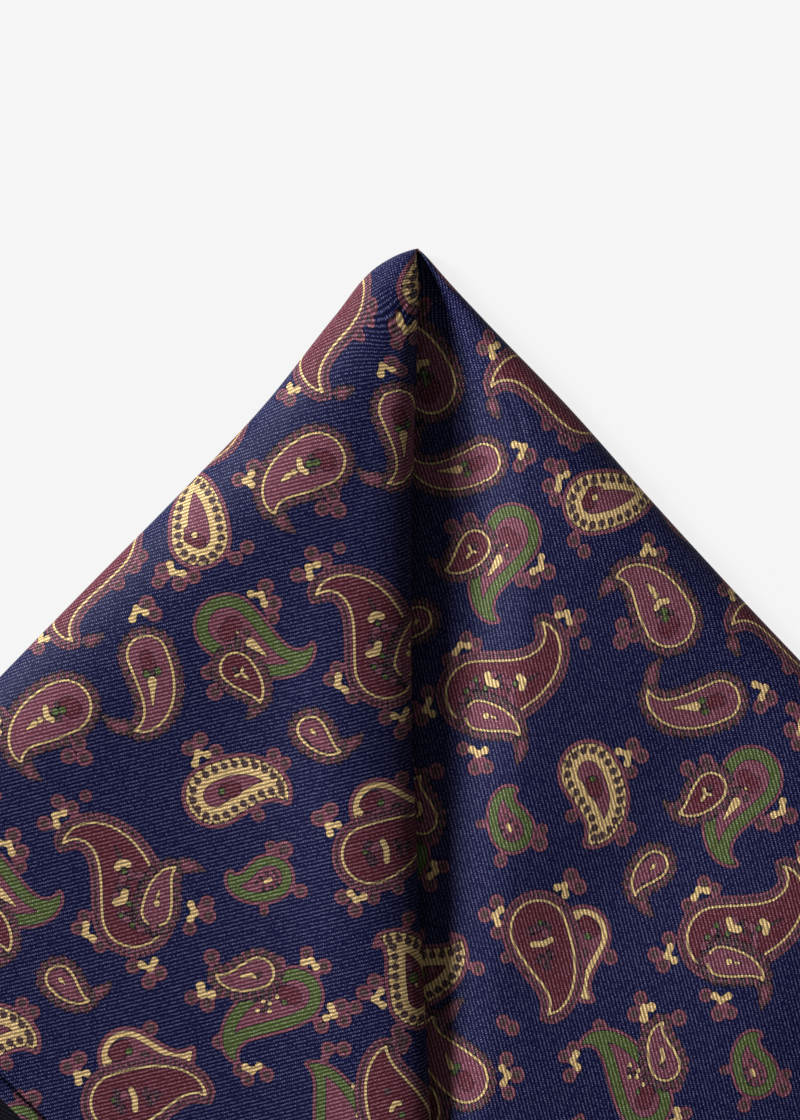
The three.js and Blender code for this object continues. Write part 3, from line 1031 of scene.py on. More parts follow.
CHART = (
    # the tall wine drop, its small pink one and four sprigs
    Figure(
        Drop(127.3, 51.5, 6.0, 24.3, -128, 20, 125, 1.5), FINE, WINE,
        tail=Drop(125.2, 31.6, 1.5, 3.6, 15, 40, 0),
        strokes=(
            *dots(PINK, 0.78, (126.4, 55.6), (128.3, 54.2), (128.6, 52.6), (128.9, 50.9), (128.8, 49.5),
                  (127.2, 46.6), (125.5, 45.8), (123.9, 45.2), (122.4, 46.0), (121.2, 47.2), (125.6, 47.7)),
            *dots(BROWN, 0.33, (127.3, 55.3), (127.6, 53.7), (127.3, 51.6), (126.3, 50.4), (124.6, 49.2),
                  (122.9, 48.5), (121.4, 48.0), (124.2, 46.9), (125.6, 45.9), (122.9, 46.3), (127.9, 50.6)),
            *dots(GREEN, 0.52, (128.9, 52.6), (129.1, 49.8), (126.5, 49.4), (122.8, 44.5)),
            Stroke(CREAM, ((125.5, 47.3), (126.7, 48.1), (128.0, 47.4)), 0.72),
            Stroke(CREAM, ((121.3, 44.0), (122.0, 42.9), (123.1, 43.0)), 0.68),
            Stroke(BROWN, ((121.3, 41.9), (120.6, 39.8)), 0.28, 0.1),
        ),
        flowers=(
            Flower(((117.5, 61.5, 1.5), (115.9, 59.6, 1.4), (121.7, 60.7, 1.35)),
                   ((118.2, 57.4), (118.9, 59.3), (120.6, 59.6))),
            Flower(((131.7, 62.5, 1.5), (134.3, 62.2, 1.45), (134.3, 58.1, 1.45)),
                   ((130.4, 60.2), (132.3, 60.7), (133.1, 58.7))),
            Flower(((135.9, 51.0, 1.4), (136.5, 45.7, 1.4), (134.1, 45.0, 1.3)),
                   ((135.9, 49.4), (136.3, 47.4), (134.8, 46.2))),
            Flower(((121.1, 29.1, 1.3), (122.2, 26.4, 1.4), (127.0, 27.5, 1.45), (117.8, 29.4, 1.2)),
                   ((122.7, 28.8), (124.5, 27.9), (125.7, 29.6))),
        ),
        over=(
            Figure(
                Drop(123.9, 54.0, 2.7, 9.5, -145, 0, -58), SCALLOPED, PINK,
                tail=Drop(114.2, 51.5, 1.7, 4.6, 140, -45, 0),
                veins=(1.3,),
                strokes=(dot(CREAM, 122.7, 53.0, 0.62),
                         Stroke(CREAM, ((121.7, 52.2), (120.6, 51.6)), 0.3, 0.12)),
            ),
        ),
    ),
    # the lower cream beaded drop
    Figure(
        Drop(100.5, 46.3, 5.4, 15.6, 172, -58, -50, 2.4), Border.BEADED, PINK,
        strokes=(Stroke(WINE, ((97.2, 47.9), (98.4, 47.3)), 1.45), dot(GREEN, 99.0, 46.7, 0.55)),
        flowers=(
            Flower(((94.4, 40.5, 1.4), (94.9, 36.9, 1.5), (97.6, 36.6, 1.5)),
                   ((95.8, 40.1), (97.1, 38.4), (99.2, 39.6))),
            Flower(((86.8, 51.0, 1.35), (87.1, 48.4, 1.35))),
            Flower(((97.3, 54.6, 1.3),)),
        ),
    ),
    # the cream beaded drop by the folded edge
    Figure(
        Drop(68.0, 9.6, 5.3, 15.3, 232, 10, 30, 2.4), Border.BEADED, PINK,
        strokes=(Stroke(WINE, ((68.6, 10.2), (69.2, 8.2)), 1.2), dot(CREAM, 68.3, 8.5, 0.6),
                 dot(PINK, 68.6, 7.0, 0.8)),
        flowers=(
            Flower(((74.0, 14.2, 1.4), (76.8, 13.2, 1.5), (77.3, 8.9, 1.45), (79.4, 10.1, 1.35)),
                   ((74.8, 12.6), (76.2, 10.7), (75.4, 9.0))),
            Flower(((62.9, 17.2, 1.4), (65.9, 17.2, 1.4))),
        ),
    ),
    # the upper cream beaded drop
    Figure(
        Drop(100.3, 100.3, 5.3, 15.0, -128, 25, 55, 2.4), Border.BEADED, WINE,
        tail=Drop(97.9, 87.4, 1.2, 2.2, -10, 20, 0),
        strokes=(dot(GREEN, 98.4, 96.9, 0.95), dot(CREAM, 99.0, 98.3, 0.4), dot(PINK, 97.3, 94.8, 0.8)),
        flowers=(
            Flower(((103.9, 92.0, 1.5), (106.9, 92.1, 1.5)), ((106.0, 96.6), (106.3, 94.4), (104.1, 94.1))),
            Flower(((91.0, 88.2, 1.4),)),
        ),
    ),
    # the pink drop that stands up
    Figure(
        Drop(90.7, 18.6, 3.7, 16.8, 68, -25, -85, 2.2), SCALLOPED, PINK,
        tail=Drop(103.4, 25.2, 1.7, 5.0, -45, -65, 0),
        strokes=(
            Stroke(WINE, ((91.0, 18.8), (92.0, 20.6)), 1.25),
            *dots(GREEN, 0.72, (91.5, 22.2), (93.3, 21.2)), dot(BROWN, 92.3, 21.7, 0.5),
            Stroke(CREAM, ((93.5, 22.8), (94.6, 24.0), (96.8, 26.3)), 0.9, 0.12),
        ),
        flowers=(Flower(((84.2, 14.1, 1.5), (83.8, 11.6, 1.6)),
                        ((85.1, 13.0), (85.9, 10.9), (88.2, 12.0))),),
    ),
    # the pink drop that lies flat
    Figure(
        Drop(41.6, 14.7, 5.0, 14.8, -18, 10, 85, 2.1), SCALLOPED, PINK,
        tail=Drop(54.6, 16.6, 1.8, 5.4, 75, 35, 0),
        strokes=(
            Stroke(WINE, ((40.8, 16.2), (40.9, 14.9)), 1.7),
            *dots(GREEN, 0.68, (42.3, 15.0), (43.5, 14.2)), *dots(BROWN, 0.5, (42.3, 13.4), (43.9, 15.6)),
            Stroke(CREAM, ((44.3, 12.3), (45.3, 13.6), (45.0, 14.9)), 0.55),
            dot(CREAM, 46.7, 13.3, 0.62), Stroke(CREAM, ((47.8, 13.0), (49.8, 12.8)), 0.6, 0.12),
        ),
        flowers=(
            Flower(((51.3, 6.9, 1.5), (55.0, 6.8, 1.5)), ((53.9, 9.5), (54.3, 7.9), (52.2, 7.7))),
            Flower(((45.8, 24.2, 1.6), (47.7, 21.8, 1.5), (44.6, 21.6, 1.4))),
        ),
    ),
    # the pink drop at the top
    Figure(
        Drop(78.5, 105.0, 4.4, 14.5, 8, -15, -75, 2.1), SCALLOPED, PINK,
        tail=Drop(89.2, 99.0, 1.7, 5.0, -75, -35, 0),
        strokes=(
            Stroke(WINE, ((77.6, 105.4), (78.8, 105.2)), 1.4),
            *dots(GREEN, 0.62, (81.0, 105.8), (81.2, 104.5)),
            Stroke(CREAM, ((82.1, 105.4), (84.8, 104.3)), 0.65, 0.12),
        ),
        flowers=(Flower(((70.5, 100.8, 1.4), (71.7, 97.3, 1.6), (75.2, 96.6, 1.5)),
                        ((72.5, 100.5), (72.8, 98.5), (75.0, 98.3))),),
    ),
    # the green hook with its small wine drop
    Figure(
        Drop(76.1, 25.2, 5.7, 19.4, 95, 0, 122, 1.5), Border.BANDED, PINK,
        strokes=(
            Stroke(WINE, ((75.2, 25.8), (77.0, 26.0)), 1.6),
            *dots(BROWN, 0.62, (74.3, 28.6), (76.6, 28.6)), dot(CREAM, 75.6, 27.3, 0.32),
            Stroke(CREAM, ((75.2, 30.4), (74.8, 34.6)), 0.9, 0.12),
        ),
        flowers=(
            Flower(((66.9, 28.2, 1.6), (65.7, 24.9, 1.6), (68.9, 30.0, 1.3)),
                   ((68.3, 27.3), (67.4, 25.4), (68.9, 23.7))),
            Flower(((86.6, 32.4, 1.6), (84.8, 28.9, 1.5))),
        ),
        over=(
            Figure(
                Drop(80.6, 32.0, 2.95, 8.0, 92, -5, -40, 1.9), SCALLOPED, WINE,
                tail=Drop(83.3, 39.9, 1.4, 3.0, 15, -10, 0),
                strokes=(Stroke(CREAM, ((80.4, 34.8), (80.6, 33.4), (81.7, 33.0)), 0.32),
                         Stroke(CREAM, ((80.6, 33.4), (79.7, 32.8)), 0.28), dot(BROWN, 80.8, 32.0, 0.5)),
            ),
        ),
        band=2.15,
    ),
    # the green hook with its small pink drop
    Figure(
        Drop(116.6, 83.4, 5.0, 19.1, -15, -25, 130, 1.8), Border.BANDED, PINK,
        strokes=(
            Stroke(WINE, ((116.9, 83.4), (117.6, 82.0)), 1.6), dot(GREEN, 118.9, 83.0, 0.5),
            *dots(CREAM, 0.46, (119.1, 81.3), (121.0, 81.2), (122.1, 82.2), (121.6, 80.1), (123.6, 80.5)),
            *dots(BROWN, 0.36, (121.9, 81.2), (122.9, 81.3), (120.1, 80.3)),
        ),
        flowers=(
            Flower(((110.0, 93.0, 1.4), (111.7, 90.9, 1.5), (113.2, 93.1, 1.5), (117.0, 91.0, 1.5)),
                   ((113.1, 89.4), (113.8, 91.2), (115.6, 90.4))),
            Flower(((131.0, 90.2, 1.4), (134.2, 88.3, 1.3), (134.0, 85.9, 1.3), (132.9, 79.5, 1.5)),
                   ((130.6, 88.0), (132.4, 87.7), (132.9, 86.1))),
            Flower(((108.7, 83.4, 1.5), (109.2, 79.3, 1.3)), ((109.9, 82.7), (109.7, 81.0), (111.1, 80.1))),
            Flower(((129.5, 73.0, 1.5), (130.7, 70.0, 1.4), (126.1, 73.3, 1.1)),
                   ((127.4, 72.5), (128.8, 70.9), (127.8, 69.5)), 0.6),
            Flower(((122.6, 67.4, 1.6), (114.3, 77.0, 1.3))),
        ),
        over=(
            Figure(
                Drop(118.4, 75.7, 2.85, 8.6, -22, -10, -65, 1.8), SCALLOPED, PINK,
                strokes=(Stroke(CREAM, ((119.3, 76.1), (119.6, 74.9), (121.1, 74.0)), 0.36),
                         dot(BROWN, 118.6, 76.0, 0.55)),
                veins=(1.2,),
            ),
        ),
        band=2.15,
    ),
    # the small green drop
    Figure(
        Drop(104.1, 64.5, 4.0, 9.1, -15, -30, -95, 1.75), Border.BANDED, PINK,
        strokes=(
            *dots(BROWN, 0.3, (103.0, 65.4), (104.0, 66.1), (105.3, 66.0), (106.4, 65.1), (102.8, 64.2),
                  (103.9, 63.5), (105.4, 63.3), (106.7, 63.4)),
            Stroke(CREAM, ((104.3, 64.8), (105.3, 64.5)), 0.42),
        ),
        flowers=(Flower(((101.8, 70.3, 1.4), (98.4, 62.6, 1.7), (99.8, 60.3, 1.1), (109.4, 68.3, 0.9))),),
        band=1.75,
    ),
    # the wide wine drop and its cream hook
    Figure(
        Drop(154.4, 74.6, 5.5, 17.4, 158, 8, -88, 1.8), FINE, WINE,
        strokes=(
            *dots(PINK, 0.85, (148.5, 78.4), (150.3, 78.4), (149.5, 76.5), (153.6, 73.0), (154.7, 74.3),
                  (155.2, 75.7), (152.8, 74.2)),
            *dots(BROWN, 0.42, (148.5, 78.4), (150.3, 78.4), (149.5, 76.5), (153.6, 73.0), (154.7, 74.3),
                  (155.2, 75.7)),
            dot(GREEN, 155.0, 73.4, 0.45),
            Stroke(CREAM, ((151.2, 74.3), (151.8, 75.9), (153.3, 77.5)), 0.55),
        ),
        flowers=(
            Flower(((154.0, 63.3, 1.6), (156.6, 62.9, 1.6)),
                   ((154.7, 66.5), (156.3, 65.1), (157.3, 66.6)), 0.5),
            Flower(((160.0, 80.7, 1.3), (164.0, 79.9, 1.5), (164.0, 76.5, 1.5)),
                   ((160.8, 79.3), (162.5, 78.7), (162.4, 76.7)), 0.5),
            Flower(((155.5, 82.8, 1.2), (145.4, 91.6, 1.5), (147.6, 92.0, 1.4))),
        ),
        under=(
            Figure(
                Drop(147.2, 69.4, 4.9, 13.4, 112, 30, 62, 1.6), Border.HOOKED, PINK,
                strokes=(Stroke(CREAM, ((151.0, 71.6), (151.4, 69.6), (150.2, 67.2)), 0.9, 0.6),
                         Stroke(WINE, ((146.6, 67.6), (148.2, 67.4)), 1.5), dot(GREEN, 146.3, 68.9, 0.65),
                         dot(BROWN, 144.8, 71.7, 0.9)),
                flowers=(Flower(((140.3, 68.6, 1.5),)),),
                band=1.2,
            ),
        ),
    ),
    # the smallest pink drop
    Figure(
        Drop(78.8, 50.0, 2.5, 7.2, 82, 10, 50, 1.9), SCALLOPED, PINK,
        tail=Drop(75.6, 57.0, 1.5, 3.6, 165, 20, 0),
        strokes=(Stroke(CREAM, ((78.8, 50.2), (78.7, 51.6)), 0.42, 0.12),),
        veins=(0.9,),
    ),
    # the long wine drop at the folded edge
    Figure(
        Drop(82.5, -3.6, 6.2, 21.5, 8, 5, 90, 1.6), FINE, WINE,
        tail=Drop(96.6, 9.0, 1.5, 3.4, 150, 20, 0),
        flowers=(
            Flower(((78.3, 4.1, 1.4), (80.7, 4.6, 1.4), (85.1, 4.8, 1.4))),
            Flower(((104.5, 2.7, 1.4), (105.0, 0.2, 1.3)), ((101.9, 2.6), (103.2, 1.6), (102.6, 0.2))),
        ),
    ),
    # the wine drop with a green hook, at the top
    Figure(
        Drop(119.4, 115.0, 5.6, 15.8, -108, -5, -50, 1.9), FINE, WINE,
        tail=Drop(110.2, 102.6, 1.4, 3.0, 170, 30, 0),
        strokes=(Stroke(CREAM, ((116.9, 111.6), (117.6, 110.9), (119.0, 111.3)), 0.45),
                 dot(GREEN, 118.2, 113.4, 0.6), dot(BROWN, 117.0, 108.4, 0.6)),
        flowers=(Flower(((107.9, 103.8, 1.5), (107.5, 101.6, 1.3), (109.2, 104.6, 1.2))),),
        under=(
            Figure(
                Drop(128.2, 108.6, 5.2, 15.6, -115, -20, 75, 1.6), Border.BANDED, PINK,
                strokes=(Stroke(CREAM, ((120.8, 102.9), (121.3, 104.2)), 0.34),
                         dot(CREAM, 124.0, 107.6, 0.6)),
                flowers=(Flower(((117.1, 97.0, 1.5), (119.2, 94.9, 1.4))),),
                band=1.8,
            ),
        ),
    ),
)


@dataclass(frozen=True)
class Print:
    """The whole print, repeated over the cloth."""

    chart: tuple[Figure, ...]
    repeat: Point = REPEAT

    def dress(self, item: bpy.types.Object) -> None:
        """Works the paints' distances out at every point of a mesh, and keeps them on it.

        Args:
            item: A mesh with the flat cloth's measure in its UV map "Cut".
        """
        mesh = item.data
        corner = np.empty(len(mesh.loops), dtype=np.int32)
        mesh.loops.foreach_get("vertex_index", corner)
        measure = np.empty(len(mesh.loops) * 2, dtype=np.float32)
        mesh.uv_layers["Cut"].data.foreach_get("uv", measure)
        points = np.zeros((len(mesh.vertices), 2))
        points[corner] = measure.reshape(-1, 2)
        fields = self.read(points)
        for paint in Paint:
            layer = mesh.attributes.new(paint.name.lower(), "FLOAT", "POINT")
            layer.data.foreach_set("value", fields[paint].astype(np.float32))

    def read(self, points: Array) -> Array:
        """The paints' signed distances at places in the flat cloth.

        Args:
            points: Places, a row for each.

        Returns:
            Distances, a row for each paint.
        """
        fields = np.full((len(Paint), len(points)), FAR)
        lattice = np.array(self.repeat)
        for figure in self.chart:
            middle, radius = figure.reach()
            home = middle + lattice * np.floor((points - middle) / lattice + 0.5)
            near = np.flatnonzero(np.linalg.norm(points - home, axis=1) < radius)
            if len(near):
                canvas = Canvas(points[near] - home[near] + middle)
                figure.lay(canvas)
                fields[:, near] = np.minimum(fields[:, near], canvas.fields)
        return fields


@dataclass(frozen=True)
class Palette:
    """The print's colours, as they look on the level cloth in even light."""

    ground: str = "#11123C"
    paints: tuple[tuple[Paint, str], ...] = (
        (Paint.DARK, "#0E0C1A"),
        (Paint.PINK, "#703E4A"),
        (Paint.WINE, "#5A262F"),
        (Paint.GREEN, "#4E5A2E"),
        (Paint.BROWN, "#4C3734"),
        (Paint.CREAM, "#C2A46F"),
    )
    softness: float = 0.07

    def build(self, tree: bpy.types.NodeTree) -> bpy.types.NodeSocket:
        """Adds the colours, each over those before it where its distance is below zero.

        Args:
            tree: The material's node tree.

        Returns:
            The colour.
        """
        colour = linear(self.ground)
        for paint, code in self.paints:
            mark = {"attribute_name": paint.name.lower()}
            distance = add_node(tree, "ShaderNodeAttribute", mark, {}, "Fac")
            sides = {"From Min": -self.softness, "From Max": self.softness, "To Min": 1.0, "To Max": 0.0}
            cover = add_node(tree, "ShaderNodeMapRange", SMOOTH, {"Value": distance, **sides})
            values = {"Factor": cover, 6: colour, 7: linear(code)}
            colour = add_node(tree, "ShaderNodeMix", {"data_type": "RGBA"}, values)
        return colour


PAISLEY = Print(CHART)
PAINTS = Palette()


# ---- finishes ----------------------------------------------------------------------------------


def add_node(
    tree: bpy.types.NodeTree, kind: str, settings: dict, values: dict, output: str = ""
) -> bpy.types.NodeSocket:
    """Adds a node, sets its properties, and gives its inputs values or links.

    Args:
        tree: The material's node tree.
        kind: The node's type name.
        settings: Properties of the node.
        values: An input's name or number, with a number, a colour, or a socket to link.
        output: The output wanted, if it isn't the first in use.

    Returns:
        The output's socket.
    """
    node = tree.nodes.new(kind)
    for name, value in settings.items():
        setattr(node, name, value)
    for name, value in values.items():
        if isinstance(value, bpy.types.NodeSocket):
            tree.links.new(value, node.inputs[name])
        else:
            node.inputs[name].default_value = value
    return node.outputs[output] if output else next(s for s in node.outputs if s.enabled)


@dataclass(frozen=True)
class Twill:
    """The weave: fine diagonal ribs, each a row of short floats of silk that carry a painted sheen."""

    pitch: float = 0.70  # from rib to rib
    float_pitch: float = 0.41  # from float to float along a rib
    angle: float = 30.0  # the rib's slope in the flat cloth, down to the right
    unbroken: float = 0.1  # how much painted sheen a rib keeps between two floats
    stagger: float = 0.42  # floats of one rib lie this much of a float past those of the last
    drift: Point = (0.36, 0.9)  # how far ribs and floats stray, as shares of their pitches
    slub: float = 0.9  # how fine the straying is, in waves for each millimetre
    fleck: float = 3.0  # how fine the patches of brighter and duller painted sheen are
    # light at two heights of a float, and at two levels of the noise: from, to, and how bright there
    crests: tuple[float, float, float, float] = (0.3, 1.0, 0.0, 1.0)
    flecks: tuple[float, float, float, float] = (0.36, 0.68, 0.0, 1.6)

    def build(self, tree: bpy.types.NodeTree) -> tuple[bpy.types.NodeSocket, bpy.types.NodeSocket]:
        """Adds the weave: two cosine waves over the flat cloth, bent a little by noise.

        Args:
            tree: The material's node tree.

        Returns:
            The rib's height from 0 to 1, and the float's painted sheen from 0 up.
        """
        flat = add_node(tree, "ShaderNodeUVMap", {"uv_map": "Cut"}, {})
        noise, plane = "ShaderNodeTexNoise", {"noise_dimensions": "2D"}
        slub = add_node(tree, noise, plane, {"Vector": flat, "Scale": self.slub, "Detail": 2.0})
        fleck = add_node(tree, noise, plane, {"Vector": flat, "Scale": self.fleck, "Detail": 1.0})
        slope = math.radians(self.angle)
        across = np.array([math.sin(slope), math.cos(slope), 0]) / self.pitch
        along = np.array([math.cos(slope), -math.sin(slope), 0]) / self.float_pitch
        waves = []
        for direction, drift in zip((across, along + self.stagger * across), self.drift):
            ahead = {0: flat, 1: tuple(direction * math.tau)}
            turns = add_node(tree, "ShaderNodeVectorMath", {"operation": "DOT_PRODUCT"}, ahead)
            level = add_node(tree, MATH, {"operation": "SUBTRACT"}, {0: turns, 1: drift * math.pi})
            bent = add_node(tree, MATH, MULTIPLY_ADD, {0: slub, 1: drift * math.tau, 2: level})
            wave = add_node(tree, MATH, {"operation": "COSINE"}, {0: bent})
            waves.append(add_node(tree, MATH, MULTIPLY_ADD, {0: wave, 1: 0.5, 2: 0.5}))
        rib, dash = waves
        broken = add_node(tree, MATH, MULTIPLY_ADD, {0: dash, 1: 1 - self.unbroken, 2: self.unbroken})
        crest = add_node(tree, MATH, {"operation": "MULTIPLY"}, {0: rib, 1: broken})
        spans = []
        for value, span in ((crest, self.crests), (fleck, self.flecks)):
            limits = zip(("From Min", "From Max", "To Min", "To Max"), span)
            spans.append(add_node(tree, "ShaderNodeMapRange", SMOOTH, {"Value": value, **dict(limits)}))
        return rib, add_node(tree, MATH, {"operation": "MULTIPLY"}, dict(enumerate(spans)))


@dataclass(frozen=True)
class Silk:
    """Silk twill: a deep ground, with painted shade in the grooves between its ribs and a painted sheen on
    the floats along each rib.
    """

    name: str
    # near black when unprinted: painted shade on the hidden layers' wrong side
    ground: str = "#0F0D14"
    painted_float_sheen: str = "#656672"  # painted sheen: what a float adds at its brightest
    painted_float_highlight: float = 2.3  # painted highlight: how many times brighter than its colour a float is at its brightest
    groove: str = "#73738C"  # painted shade: what a groove between the ribs leaves of the colour
    groove_share: float = 0.75
    roughness: float = 0.55
    gloss: float = 0.08
    groove_top: float = 0.8  # a groove's shade ends this far up a rib
    relief: float = 0.1  # height of the ribs
    relief_strength: float = 0.35
    printed: bool = True

    def build(self) -> bpy.types.Material:
        """Makes the material: print, painted shade in the grooves between the ribs, and a painted highlight
        and sheen on the floats along them.

        Returns:
            The new material.
        """
        made = bpy.data.materials.new(self.name)
        made.use_nodes = True
        tree = made.node_tree
        shader = tree.nodes["Principled BSDF"]
        rib, dash = Twill().build(tree)
        colour = PAINTS.build(tree) if self.printed else linear(self.ground)
        limits = {"From Max": self.groove_top, "To Min": self.groove_share, "To Max": 0.0}
        groove = add_node(tree, "ShaderNodeMapRange", SMOOTH, {"Value": rib, "From Min": 0.0, **limits})
        # painted shade in the grooves, then a painted highlight and a painted sheen on the floats
        for share, blend, over in (
            (groove, "MULTIPLY", linear(self.groove)),
            (dash, "MULTIPLY", (*[self.painted_float_highlight] * 3, 1.0)),
            (dash, "ADD", linear(self.painted_float_sheen)),
        ):
            settings = {"data_type": "RGBA", "blend_type": blend}
            colour = add_node(tree, "ShaderNodeMix", settings, {"Factor": share, 6: colour, 7: over})
        tree.links.new(colour, shader.inputs["Base Color"])
        relief = {"Strength": self.relief_strength, "Distance": self.relief * MM, "Height": rib}
        tree.links.new(add_node(tree, "ShaderNodeBump", {}, relief), shader.inputs["Normal"])
        shader.inputs["Roughness"].default_value = self.roughness
        shader.inputs["Specular IOR Level"].default_value = self.gloss
        return made


@dataclass(frozen=True)
class Backdrop:
    """A plain pale light table: white acrylic, lit from behind so that shadows stay faint."""

    colour: str = "#4A4A4A"
    glow: float = 0.845
    roughness: float = 0.9

    def build(self) -> bpy.types.Material:
        """Makes the material.

        Returns:
            The new material.
        """
        made = bpy.data.materials.new("light_table")
        made.use_nodes = True
        shader = made.node_tree.nodes["Principled BSDF"]
        shader.inputs["Base Color"].default_value = linear(self.colour)
        shader.inputs["Roughness"].default_value = self.roughness
        shader.inputs["Specular IOR Level"].default_value = 0.0
        shader.inputs["Emission Color"].default_value = (1, 1, 1, 1)
        shader.inputs["Emission Strength"].default_value = self.glow
        return made


# ---- the pieces --------------------------------------------------------------------------------


def add_tube(name: str, rings: Array, cut: Array, flip: bool) -> bpy.types.Object:
    """Makes a closed surface from rings of points, capped at both ends.

    Args:
        name: The object's name.
        rings: Places, indexed by ring, point and axis.
        cut: Each point in the flat cloth, in millimetres, indexed the same way.
        flip: True to turn the faces over.

    Returns:
        The new object, linked to the scene.
    """
    count, points = rings.shape[:2]
    at = np.arange(count * points).reshape(count, points)
    at = np.concatenate([at, at[:, :1]], axis=1)
    quads = np.stack([at[:-1, :-1], at[:-1, 1:], at[1:, 1:], at[1:, :-1]], axis=-1).reshape(-1, 4)
    polygons = [quads, at[:1, :-1][:, ::-1], at[-1:, :-1]]
    if flip:
        polygons = [faces[:, ::-1] for faces in polygons]
    corners = np.concatenate([faces.ravel() for faces in polygons])
    return make_piece(name, rings.reshape(-1, 3), polygons, {"Cut": cut.reshape(-1, 2)[corners]})


@dataclass
class Hem:
    """The turned hem at the end of a lobe: the cloth doubled over, with a stitched groove.

    Its section runs over the top from the groove to the rounded edge, and back underneath.
    """

    name: str
    fold: Fold
    stations: int = 420
    base: float = 0.0  # how far the whole section is lifted
    thread: int = 2  # the section's first points that the dark thread and the groove's painted shade cover
    over: tuple[Point, ...] = (  # from the groove towards the edge, and up
        (0.0, -0.62), (0.16, -0.56), (0.42, 0.06), (0.9, 0.25), (1.6, 0.30),
        (2.3, 0.26), (2.8, 0.10), (3.1, -0.12), (3.2, -0.35),
    )
    under: tuple[Point, ...] = (
        (3.1, -0.58), (2.8, -0.72), (2.2, -0.80), (1.2, -0.84), (0.4, -0.84), (0.0, -0.82),
    )

    def build(self) -> bpy.types.Object:
        """Carries the section along the lobe's last line of points.

        Returns:
            The new object.
        """
        section = np.array(self.over + self.under)
        cuts = self.fold.length - HEM_WIDTH + section[:, 0]
        share = np.linspace(0, 1, self.stations + 1)
        shape = (len(cuts), len(share))
        row, every = np.repeat(np.arange(len(cuts)), len(share)), np.tile(share, len(cuts))
        d, z, run = (part.reshape(shape) for part in self.fold.even(cuts, row, every))
        slope_d, slope_z = np.gradient(d, axis=1), np.gradient(z, axis=1)
        size = np.maximum(np.hypot(slope_d, slope_z), 1e-9)
        rise = section[:, 1:] + self.base
        places = self.fold.place(
            cuts[:, None] + 0 * d, d - slope_z / size * rise, z + slope_d / size * rise
        )
        places[..., 2] = np.maximum(places[..., 2], 0)
        flat = self.fold.lay.read(self.fold.sign * (cuts[:, None] + 0 * d), run)
        left = self.fold.side is Side.LEFT
        return add_tube(self.name, places.transpose(1, 0, 2), flat.transpose(1, 0, 2), left)

    def paint_thread_and_shade(self, item: bpy.types.Object) -> None:
        """Paints the groove dark over the print: the sewing thread, and painted shade in the groove.

        Args:
            item: The hem, with the print's distances on it.
        """
        count = len(self.over + self.under)
        thread = np.arange(len(item.data.vertices)) % count < self.thread
        values = np.empty(len(thread), dtype=np.float32)
        for paint in Paint:
            layer = item.data.attributes[paint.name.lower()].data
            layer.foreach_get("value", values)
            # dark paint in the groove: the thread and painted shade
            values[thread] = -1.0 if paint is Paint.DARK else FAR
            layer.foreach_set("value", values)


@dataclass
class Layers:
    """The pleat's hidden layers: one rounded solid under both lobes, with a step for each layer.

    Each ring lies across both lobes, from inside one folded edge to inside the other, and follows
    the underside of the cloth above. The rings run from below the peak to past the hem.
    """

    name: str
    clearance: float = 0.75  # under the top of the cloth above
    floor: float = 0.85
    least: float = 0.3  # its least thickness
    steps: tuple[Point, ...] = ((0.957, 0.0), (0.984, 1.25), (1.024, 2.4))  # reach, and drop there
    last_drop: float = 1.2  # what the last layer's edge falls
    edge: float = 0.5  # the round edge of a layer takes this much of its end
    margin: float = 3.8  # from the folded edges
    room: Point = (6.5, 13.0)  # from the left lobe's centre fold at the peak, and more at the hem
    gap: float = 0.3  # from the right lobe's end
    short: Point = (0.35, 0.55)  # the margin and the room take at most these shares of a section
    rounding: Point = (0.8, 0.03)  # its rounded sides: how far they drop, in what share of its width
    start: float = 7.0  # from the peak
    rings: int = 150
    across: int = 90

    def build(self) -> bpy.types.Object:
        """Makes the mesh.

        Returns:
            The new object.
        """
        reaches, falls = zip(*self.steps)
        cuts = [np.linspace(self.start, reaches[0] * LOBE - self.edge, self.rings)]
        drops = [np.zeros(self.rings)]
        turn = np.linspace(0, math.pi / 2, 7)
        for reach, drop, lower in zip(reaches, falls, falls[1:] + (falls[-1] + self.last_drop,)):
            cuts.append(reach * LOBE - self.edge * (1 - np.sin(turn)))
            drops.append(drop + (lower - drop) * (1 - np.cos(turn)))
        cut, drop = np.concatenate(cuts), np.concatenate(drops)
        sides = [self._tops(fold, cut, drop) for fold in (LEFT_FOLD, RIGHT_FOLD)]
        tops = np.concatenate([sides[0], sides[1][:, ::-1]], axis=1)
        bottoms = tops[:, ::-1].copy()
        bottoms[..., 2] = self.floor * MM
        rings = np.concatenate([tops, bottoms], axis=1)
        return add_tube(self.name, rings, rings[..., :2] / MM, True)

    def _tops(self, fold: Fold, cut: Array, drop: Array) -> Array:
        """The upper line of every ring on one side, from the folded edge inwards.

        Args:
            fold: The lobe above.
            cut: Distances of the rings from the peak.
            drop: How far each ring lies below the cloth above, past the clearance.

        Returns:
            Places in metres, indexed by ring, point and axis.
        """
        d, z, _ = fold.line(np.minimum(cut, LOBE))
        left = fold.side is Side.LEFT
        first = fold.fine - 1
        last = first + 3 * fold.fine if left else d.shape[1]
        near, far = self.room
        room = np.minimum(near + cut / LOBE * far, cut * self.short[1]) if left else cut * 0 + self.gap
        t = np.linspace(0, 1, self.across)
        start = np.minimum(self.margin, cut * self.short[0])
        place = start[:, None] + (cut - room - start)[:, None] * t
        rows = [np.interp(p, a[first:last], b[first:last]) for p, a, b in zip(place, d, z)]
        drop_by, share = self.rounding
        side = (1 - np.minimum(t, 1 - t) / share).clip(0)
        height = np.array(rows) - self.clearance - drop[:, None] - drop_by * (1 - np.sqrt(1 - side**2))
        return fold.place(cut[:, None] + 0 * place, place, np.maximum(height, self.floor + self.least))


